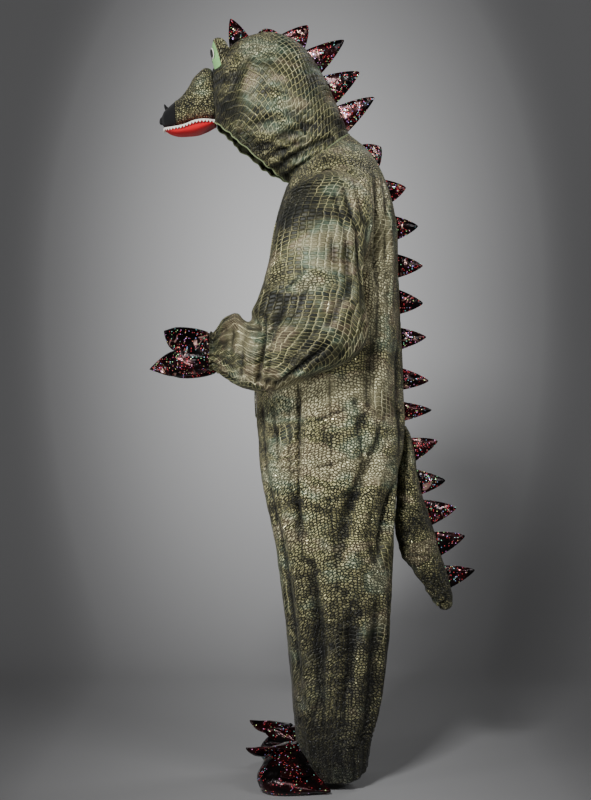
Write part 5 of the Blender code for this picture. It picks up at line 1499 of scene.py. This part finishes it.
def make_snout():
    rings = slice_rings(SNOUT, *SNOUT_FINE, 0.55, 0.85)
    turn = np.arange(72)[None, :] * math.tau / 72
    share = np.linspace(0, 1, SNOUT_FINE[1])[:, None]
    shift = 0.0022 * ripple(rings, 0.030, 40) + 0.0010 * ripple(rings * np.array([1, 1, 0.4]), 0.012, 41)
    shift = shift - 0.0030 * np.exp(-((share / 0.05) ** 2)) - 0.0016 * np.exp(
        -((np.sin(turn / 2) / 0.05) ** 2)
    )
    pleats = folded(
        share * 40, turn * 10,
        [Fold(26, 4, 40, 2.2, 0.0020, 9), Fold(33, 2, 30, 2.0, 0.0018, -6), Fold(14, 6, 30, 2.4, 0.0016, 8)]
    )
    pleats = pleats + folded(
        share * 40, (math.tau - turn) * 10,
        [Fold(24, 4, 38, 2.2, 0.0020, 8), Fold(34, 2, 30, 2.0, 0.0016, -6)]
    )
    padded_form("snout_cloth", pushed(rings, shift + pleats), "", "padded_velour", ["snout"])
    nose = rounded_end(slice_rings(NOSE, *NOSE_FINE, 0.55, 0.85), 0.006)
    padded_form("nose_felt", pushed(nose, 0.0008 * ripple(nose, 0.012, 42)), "", "black_felt", ["nose"])
    mouth = slice_rings(MOUTH, *MOUTH_FINE, 0.8, 0.7)
    padded_form(
        "mouth_felt", pushed(mouth, 0.0012 * ripple(mouth, 0.03, 43)), "", "red_felt", ["mouth_lining"]
    )
    facing = np.array(NOSTRIL_FACING)
    across = unit(np.cross([0, 1, 0], facing))
    aside = np.cross(facing, across)
    turns = np.arange(16) * math.tau / 16
    for side in SIDES:
        rings = []
        for share in np.linspace(0, 1, 9):
            radius = 0.0078 * (1 - share) ** 0.6 + 0.0005
            centre = np.array(NOSTRIL_SEAT) + facing * (share * 0.013 - 0.0010) + across * 0.003 * share**2
            rings.append(
                [centre + across * radius * 0.6 * math.cos(t) + aside * radius * math.sin(t) for t in turns]
            )
        padded_form(f"nostril_felt_{side}", np.array(rings), side, "black_felt", [f"nostril_{side}"])


def make_teeth():
    """One zigzag strip of felt round the upper jaw, from one corner of the mouth to the other."""
    out = TOOTH_CLEAR + FELT
    jaw = [(cut.top_x, cut.half_width + out, cut.top_z - SEAT_GAP) for cut in MOUTH]
    jaw += [(MOUTH[-1].top_x - out, 0.0, MOUTH[-1].top_z - SEAT_GAP)]
    path = np.array(jaw + [(x, -y, z) for x, y, z in reversed(jaw[:-1])])
    lengths = arc(path)
    teeth = round(lengths[-1] / TOOTH_PITCH)
    places = np.linspace(0, lengths[-1], teeth * 10 + 1)
    line = smooth(lengths, path, places)
    tangent = unit(np.gradient(line, axis=0))
    outward = unit(np.cross(tangent, [0, 0, 1]))
    outward = np.where(
        ((line - np.array([-0.32, 0, 0.07])) * outward).sum(-1, keepdims=True) >= 0, outward, -outward
    )
    wave = 1 - np.abs((np.arange(len(places)) / 10) % 1 - 0.5) * 2
    long = 0.30 + 0.85 * wave**0.9 * (1 + 0.12 * ripple(line, 0.006, 44))
    outer, inner = [], []
    for share in np.linspace(0, 1, TOOTH_ROWS):
        low = line - stack(0, 0, TOOTH_LENGTH * long * share) + outward * 0.0012 * share
        half = outward * (FELT * (1 - 0.5 * share))
        outer.append(low)
        inner.append(low - half)
    two_layers("teeth_felt", np.array(outer), np.array(inner), "", "white_felt", ["teeth"])


def eye_mound(across, along):
    turn = math.tau * across
    base = hood_shell(
        EYE_PLACE[0] + EYE_SPAN[0] * np.cos(turn), EYE_PLACE[1] + EYE_SPAN[1] * np.sin(turn), -0.002
    )[0]
    centre = hood_shell(np.array(EYE_PLACE[0]), np.array(EYE_PLACE[1]), SEAT_GAP)[0]
    top = np.array(EYE_AXIS.normalized()) * EYE_HEIGHT
    width = np.sqrt(np.maximum(0.0, 1 - along * along))
    return centre + top * along[..., None] + (base - centre) * width[..., None], centre


def make_eyes():
    along = np.sin(np.linspace(0, math.pi / 2, 26))[:-1]
    across, rise = np.meshgrid(np.arange(64) / 64, np.minimum(along, 0.995))
    dome, centre = eye_mound(across, rise)
    parting, gaze = np.array(EYE_PARTING.normalized()), np.array(GAZE.normalized())
    reach = dome @ parting
    cut = reach.max() - EYEBALL_SHARE * (reach.max() - reach.min())
    middle = centre + np.array(EYE_AXIS.normalized()) * EYE_HEIGHT * 0.35
    ahead = ((dome - middle) @ gaze).max()
    sideways = unit(np.cross(gaze, [0, 0, 1]))
    upright = np.cross(sideways, gaze)
    turns = np.arange(40) * math.tau / 40
    for side in SIDES:
        ball = centre + (dome - centre) * 0.985
        padded_form(f"eyeball_felt_{side}", ball, side, "green_felt", [f"eyeball_{side}"])
        lid = pushed(dome, 0.0008 + 0.0010 * ripple(dome, 0.012, 45))
        made = sewn_cloth(
            f"eyelid_cloth_{side}", lid, lid - centre, side, "pebble_velour", [f"eyelid_{side}"], ring=True,
            wall=0
        )
        trim_by_plane(made, parting * cut * 1.0, -parting, side)
        for name, radius, lift, slot in (
            ("eye_white", EYE_WHITE_RADIUS, 0.0, "white_felt"), ("pupil", PUPIL_RADIUS, 0.0017, "black_felt")
        ):
            rings = []
            for bulge in np.linspace(-0.3, math.pi / 2 - 0.06, 9):
                spot = middle + gaze * (ahead - 0.0005 + lift + 0.0017 * math.sin(bulge))
                wide = radius * min(1.0, math.cos(bulge)) if bulge > 0 else radius
                rings.append(
                    [spot + sideways * wide * math.cos(t) + upright * wide * math.sin(t) for t in turns]
                )
            padded_form(f"{name}_felt_{side}", np.array(rings), side, slot, [f"{name}_{side}"])


def trim_by_plane(piece, point, normal, side):
    """Cuts away what lies past a plane, then gives the cloth that is left its wall."""
    sign = np.array([1, SIDES[side], 1])
    mesh = bmesh.new()
    mesh.from_mesh(piece.data)
    geometry = mesh.verts[:] + mesh.edges[:] + mesh.faces[:]
    bmesh.ops.bisect_plane(
        mesh, geom=geometry, plane_co=Vector(point * sign), plane_no=Vector(-normal * sign), clear_outer=True
    )
    mesh.to_mesh(piece.data)
    mesh.free()
    solidify_piece(piece, 0.0016)


def make_tail():
    count = 84
    line = back_line()
    rings = []
    for cut in TAIL:
        front, back = np.array([cut.top_x, 0, cut.top_z]), np.array([cut.low_x, 0, cut.low_z])
        if cut.top_z > -TAIL_SEWN:
            front[0] = np.interp(-front[2], -line[:, 2], line[:, 0]) + SEAT_GAP
        middle, turn = (front + back) / 2, np.arange(count) * math.tau / count
        ring = middle + (back - middle) * np.cos(turn)[:, None]
        ring[:, 1] = cut.half_width * power(np.sin(turn), 0.9)
        rings.append(ring)
    places = np.linspace(0, len(TAIL) - 1, 190)
    grid = smooth(np.arange(len(TAIL)), np.array(rings), places)
    turn = (np.arange(count) * 360 / count)[None, :]
    sag = np.minimum(turn, 360 - turn) + 0 * places[:, None]
    rows = small_folds(51, 30, (1.5, 10.5), (30, 120), (50, 110), (0.14, 0.30), (0.0012, 0.0040), (-1.2, 1.2))
    wrinkles = folded(places[:, None], sag, rows) * (1 + 0.7 * ripple(grid, 0.05, 46))
    seam = -0.0026 * np.exp(-(((sag - 178) / 5) ** 2)) - 0.0024 * np.exp(-((sag / 4) ** 2))
    shift = wrinkles + seam + 0.0030 * ripple(grid, 0.045, 47) + 0.0008 * ripple(grid, 0.014, 48)
    shift = shift + 0.005 * np.exp(-(((places[:, None] - 2.6) / 1.5) ** 2)) * ease((sag - 120) / 40)
    shift = shift * ease(places[:, None] / 1.2 + 0.1)
    padded_form("tail_cloth", rounded_end(pushed(grid, shift), 0.012), "", "padded_velour", ["tail"])


def make_hand_flaps():
    wrist = sleeve_rings(18)[-1]
    knots = np.linspace(0, 1, len(FLAP_UPPER_EDGE))
    across, along = np.meshgrid(*(np.linspace(0, 1, count) for count in FLAP_FINE))
    upper = smooth(knots, np.array(FLAP_UPPER_EDGE)[:, [0, 2, 1]], along)
    lower = smooth(knots, np.array(FLAP_LOWER_EDGE)[:, [0, 2, 1]], along)
    cuff = smooth(np.arange(18), wrist, (across * 0.86 + 0.07) * ARMHOLE_STEPS) - np.array([SEAT_GAP, 0, 0])
    ends = [
        smooth(knots, np.array(edge)[:, [0, 2, 1]], np.array(1.0))
        for edge in (FLAP_UPPER_EDGE, FLAP_LOWER_EDGE)
    ]
    share = across[..., None]
    straight = upper * (1 - share) + lower * share
    dip = np.maximum(0.0, 1 - np.abs(across - 0.5) / 0.5)
    end = ends[0] * (1 - share) + ends[1] * share
    straight = straight + (np.array(FLAP_NOTCH) - end) * (dip * along**3)[..., None]
    straight[..., 1] += FLAP_BULGE * np.cos(math.pi * (0.5 - across)) * (1 - 0.55 * along)
    middle = cuff + (straight - cuff) * ease(along * 1.4)[..., None]
    rim = np.minimum(np.minimum(across, 1 - across), 1 - along) * 5
    for side in SIDES:
        mirror = middle * np.array([1, SIDES[side], 1])
        dent = 1 + 0.5 * ripple(mirror, 0.02, 49)
        half = CLOTH / 2 + (FLAP_PADDING * 1.25 - CLOTH) / 2 * ease(rim) * ease(along * 4) * dent
        shift = stack(0, half, 0) + stack(0, 0.0018 * ripple(mirror, 0.03, 50) * ease(along * 3), 0)
        low = stack(0, -half, 0) + stack(0, 0.0018 * ripple(mirror, 0.03, 50) * ease(along * 3), 0)
        two_layers(
            f"hand_flap_cloth_{side}", middle + shift, middle + low, side, "sparkle_cloth",
            [f"hand_flap_{side}"]
        )
        edge = np.concatenate([middle[8:, 0], middle[-1, 1:], middle[-2:7:-1, -1]])
        piping(f"hand_flap_rim_{side}", edge * np.array([1, SIDES[side], 1]), 0.0011, "black_felt")


# Turn of each claw's free end towards the outside, in degrees
CLAW_SWING = (32, 46, 14)


def make_foot_claws():
    for side in SIDES:
        for number, claw in enumerate(FOOT_CLAWS, 1):
            share, crossing = np.meshgrid(
                np.linspace(0, 1, CLAW_FINE[0]), np.linspace(-1, 1, CLAW_FINE[1]), indexing="ij"
            )
            along = claw.along0 + (claw.along1 - claw.along0) * share
            width = claw.half_across * ((1 - share) ** 0.8 * (1 + 0.5 * share) + 0.02)
            under, normal = foot_shell(claw.across + width * crossing, along, CLAW_GAP + 0 * share)
            centre = foot_shell(claw.across + 0 * share, along, CLAW_GAP + 0 * share)[0]
            tip = np.array([claw.tip_x, claw.tip_y, claw.tip_z])
            root = foot_shell(np.array(claw.across), np.array(claw.along0), np.array(0.0))[0]
            forward = unit(tip - root)
            upright = unit(np.array([0, 0, 1]) - forward * forward[2])
            outward = unit(normal * (1 - share[..., None]) + upright * share[..., None])
            shift = (tip - centre) * (share**claw.lift)[..., None]
            dent = 1 + 0.5 * ripple(under * np.array([1, SIDES[side], 1]), 0.02, 60 + number)
            puff = (1 - crossing**2) ** 0.8 * np.sin(math.pi * (0.15 + 0.80 * share)) * dent
            forward = unit(tip - centre[0, 12])
            swing = math.radians(CLAW_SWING[number - 1]) * ease(share * 1.5)[..., None]
            aside = under - centre
            under = centre + aside * np.cos(swing) - np.cross(forward, aside) * np.sin(swing)
            inner = under + shift - outward * (0.006 * puff * ease(share * 3 - 1))[..., None]
            outer = under + shift + outward * (SPIKE_EDGE + CLAW_PADDING * puff)[..., None]
            two_layers(
                f"foot_claw_cloth_{side}_{number}", outer, inner, side, "sparkle_cloth",
                [f"foot_claw_{side}_{number}"]
            )


def angle_at_width(level, width):
    low, high = inner_angle(level) + 0 * width, 60.0 + 0 * level + 0 * width
    for _ in range(26):
        middle = (low + high) / 2
        near = body_points(middle, level)[..., 1] < width
        low, high = np.where(near, middle, low), np.where(near, high, middle)
    return low


def make_placket():
    level, width = np.meshgrid(
        np.linspace(*PLACKET_LEVELS, 170), np.linspace(-1, 1, 15) * PLACKET_HALF_WIDTH, indexing="ij"
    )
    angle = angle_at_width(level, np.abs(width))
    points, normal = body_points(angle, level), body_normals(angle, level)
    halves = {side: body_relief(angle, points, level, side) for side in SIDES}
    fine = np.where(width < 0, halves["left"][1], halves["right"][1])
    run = np.abs(np.abs(width) - PLACKET_HALF_WIDTH + 0.004)
    shift = halves["left"][0] + fine * 0.8 + SEAT_GAP + CLOTH + 0.0008 - 0.0010 * np.exp(
        -((run / 0.0014) ** 2)
    )
    sign = np.where(width < 0, -1.0, 1.0)[..., None] * np.array([0, 1, 0]) + np.array([1, 0, 1])
    grid, normal = (points + normal * shift[..., None]) * sign, normal * sign
    made = sewn_cloth("placket_cloth", grid, normal, "right", "pebble_velour", ["front_placket"], wall=0.0022)
    declare_sheet(made, grid, "hung", ["front_panel_left", "front_panel_right"])
    for side in SIDES:
        column_at = 2 if side == "left" else -3
        stitches(f"placket_stitching_{side}", grid[:, column_at], normal[:, column_at])


def piping(name, path, radius, material):
    """A thin sewn edge that follows a path of points."""
    tangent = unit(np.gradient(path, axis=0))
    aside = unit(np.cross(tangent, [0.3, 0.9, 0.2]))
    above = np.cross(tangent, aside)
    turns = (np.arange(8) * math.tau / 8)[None, :, None]
    rings = path[:, None] + (aside[:, None] * np.cos(turns) + above[:, None] * np.sin(turns)) * radius
    count = len(path)
    faces = grid_faces(count, 8, True) + [tuple(range(8)), tuple(range(count * 8 - 1, count * 8 - 9, -1))]
    outward = (rings - path[:, None]).reshape(-1, 3)
    return finish_piece(name, rings.reshape(-1, 3), faces, material, outward=outward)


def stitches(name, path, normal, half=0.0005, material="thread"):
    """A row of small thread stitches lying on the cloth along a path."""
    total = arc(path)[-1]
    points, faces = [], []
    pitch = size("stitch_pitch")
    for place in np.arange(pitch / 2, total - pitch / 2, pitch):
        a, b = along_line(path, np.array([place, place + size("stitch")]))
        lengths = arc(path)
        up = np.array([np.interp(place, lengths, normal[:, k]) for k in range(3)])
        aside = unit(np.cross(b - a, up)) * half
        up = unit(up) * half
        first = len(points)
        for end in (a, (a + b) / 2 + up * 0.7, b):
            points += [end - aside, end + up, end + aside, end - up * 2]
        for k in (0, 4):
            faces += [
                tuple(first + k + c for c in (j, (j + 1) % 4, 4 + (j + 1) % 4, 4 + j)) for j in range(4)
            ]
        faces += [(first + 3, first + 2, first + 1, first), (first + 8, first + 9, first + 10, first + 11)]
    points = np.array(points)
    middles = points.reshape(-1, 12, 3).mean(axis=1, keepdims=True)
    outward = (points.reshape(-1, 12, 3) - middles).reshape(-1, 3)
    return finish_piece(name, points, faces, material, outward=outward)


def make_trims():
    """Edge of the face opening, the neck seam's piping, and rows of stitches at hems and seams."""
    share = np.linspace(0.0, 1.0, TRIM_POINTS)
    level = np.full(TRIM_POINTS, 3.0)
    for side in SIDES:
        sign = np.array([1, SIDES[side], 1])
        relief = hood_relief(side)
        for name, across, along in (
            ("face_edge", 1 + 0 * share, share), ("neck_piping", share, 1 + 0 * share)
        ):
            path = hood_shell(across[None], along[None], 0.0006, relief)[0][0]
            piping(f"{name}_{side}", path * sign, size("piping"), "edge_velour")
        path, normal = hood_shell((0.955 + 0 * share)[None], share[None], 0.0004, relief)
        stitches(f"face_stitching_{side}", (path[0] * sign)[4:-4], (normal[0] * sign)[4:-4])
        for name, low, high in (("front", -88, 88), ("back", 92, 268)):
            angle = low + (high - low) * share
            hem = body_points(angle, level - 0.028)
            large, fine = body_relief(angle[None], hem[None], (level - 0.028)[None], side)
            normal = body_normals(angle, level - 0.028)
            path = hem + normal * (large[0] + fine[0] + 0.0003)[:, None]
            stitches(f"{name}_hem_stitching_{side}", path * sign, normal * sign)


class COSTUME_OT_stage(bpy.types.Operator):
    """Makes the backdrop, lamps and camera."""

    bl_idname = "costume.stage"
    bl_label = "Studio stage"

    def execute(self, context):
        make_stage()
        return {"FINISHED"}


class COSTUME_OT_body_panels(bpy.types.Operator):
    """Sews the fronts and backs of the jumpsuit."""

    bl_idname = "costume.body_panels"
    bl_label = "Body panels"

    def execute(self, context):
        make_body()
        return {"FINISHED"}


class COSTUME_OT_sleeves(bpy.types.Operator):
    """Sews both sleeves, gathered at the wrist."""

    bl_idname = "costume.sleeves"
    bl_label = "Sleeves"

    def execute(self, context):
        make_sleeves()
        return {"FINISHED"}


class COSTUME_OT_hood(bpy.types.Operator):
    """Sews both halves of the hood."""

    bl_idname = "costume.hood"
    bl_label = "Hood"

    def execute(self, context):
        make_hood()
        return {"FINISHED"}


class COSTUME_OT_placket(bpy.types.Operator):
    """Lays the strip over the front opening."""

    bl_idname = "costume.placket"
    bl_label = "Front placket"

    def execute(self, context):
        make_placket()
        return {"FINISHED"}


class COSTUME_OT_snout(bpy.types.Operator):
    """Stuffs the snout, nose, nostril tabs and mouth."""

    bl_idname = "costume.snout"
    bl_label = "Snout and mouth"

    def execute(self, context):
        make_snout()
        return {"FINISHED"}


class COSTUME_OT_teeth(bpy.types.Operator):
    """Cuts the zigzag strip of felt teeth."""

    bl_idname = "costume.teeth"
    bl_label = "Teeth"

    def execute(self, context):
        make_teeth()
        return {"FINISHED"}


class COSTUME_OT_eyes(bpy.types.Operator):
    """Makes the felt eyeballs, lids, whites and pupils."""

    bl_idname = "costume.eyes"
    bl_label = "Eyes"

    def execute(self, context):
        make_eyes()
        return {"FINISHED"}


class COSTUME_OT_tail(bpy.types.Operator):
    """Stuffs the tail."""

    bl_idname = "costume.tail"
    bl_label = "Tail"

    def execute(self, context):
        make_tail()
        return {"FINISHED"}


class COSTUME_OT_spikes(bpy.types.Operator):
    """Sews the spikes of hood, back and tail."""

    bl_idname = "costume.spikes"
    bl_label = "Spikes"

    def execute(self, context):
        make_spikes()
        return {"FINISHED"}


class COSTUME_OT_hand_flaps(bpy.types.Operator):
    """Sews the two-clawed flaps over the hands."""

    bl_idname = "costume.hand_flaps"
    bl_label = "Hand flaps"

    def execute(self, context):
        make_hand_flaps()
        return {"FINISHED"}


class COSTUME_OT_foot_covers(bpy.types.Operator):
    """Sews the covers over the toes."""

    bl_idname = "costume.foot_covers"
    bl_label = "Foot covers"

    def execute(self, context):
        make_foot_covers()
        return {"FINISHED"}


class COSTUME_OT_foot_claws(bpy.types.Operator):
    """Sews three padded claws on each foot."""

    bl_idname = "costume.foot_claws"
    bl_label = "Foot claws"

    def execute(self, context):
        make_foot_claws()
        return {"FINISHED"}


class COSTUME_OT_trims(bpy.types.Operator):
    """Adds bound edges, piping and stitches."""

    bl_idname = "costume.trims"
    bl_label = "Trims and stitching"

    def execute(self, context):
        make_trims()
        return {"FINISHED"}


OPERATORS = (
    COSTUME_OT_stage,
    COSTUME_OT_body_panels,
    COSTUME_OT_sleeves,
    COSTUME_OT_hood,
    COSTUME_OT_placket,
    COSTUME_OT_snout,
    COSTUME_OT_teeth,
    COSTUME_OT_eyes,
    COSTUME_OT_tail,
    COSTUME_OT_spikes,
    COSTUME_OT_hand_flaps,
    COSTUME_OT_foot_covers,
    COSTUME_OT_foot_claws,
    COSTUME_OT_trims,
)


class COSTUME_PT_panel(bpy.types.Panel):
    """Lists the costume's pieces, sizes and colours."""

    bl_label = "Dinosaur costume"
    bl_idname = "COSTUME_PT_panel"
    bl_space_type = "VIEW_3D"
    bl_region_type = "UI"
    bl_category = "Costume"

    def draw(self, context):
        for kind in OPERATORS:
            self.layout.operator(kind.bl_idname)
        for group in (context.scene.costume_sizes, context.scene.costume_colours):
            for name in type(group).__annotations__:
                self.layout.prop(group, name)


CLASSES = (CostumeColours, CostumeSizes, *OPERATORS, COSTUME_PT_panel)


def register():
    for kind in CLASSES:
        bpy.utils.register_class(kind)
    bpy.types.Scene.costume_colours = bpy.props.PointerProperty(type=CostumeColours)
    bpy.types.Scene.costume_sizes = bpy.props.PointerProperty(type=CostumeSizes)


def unregister():
    del bpy.types.Scene.costume_sizes
    del bpy.types.Scene.costume_colours
    for kind in reversed(CLASSES):
        bpy.utils.unregister_class(kind)


def declare_sheets():
    """Prints each cloth panel's flat width, length and area."""
    for piece, flat, held, rests_on, area in SHEETS:
        print("flat", piece.name, [round(value, 3) for value in (*flat, area)])


def main():
    register()
    make_materials()
    bpy.ops.costume.stage()
    bpy.ops.costume.body_panels()
    bpy.ops.costume.sleeves()
    bpy.ops.costume.hood()
    bpy.ops.costume.placket()
    bpy.ops.costume.snout()
    bpy.ops.costume.teeth()
    bpy.ops.costume.eyes()
    bpy.ops.costume.tail()
    bpy.ops.costume.spikes()
    bpy.ops.costume.hand_flaps()
    bpy.ops.costume.foot_covers()
    bpy.ops.costume.foot_claws()
    bpy.ops.costume.trims()
    declare_sheets()


if __name__ == "__main__":
    main()
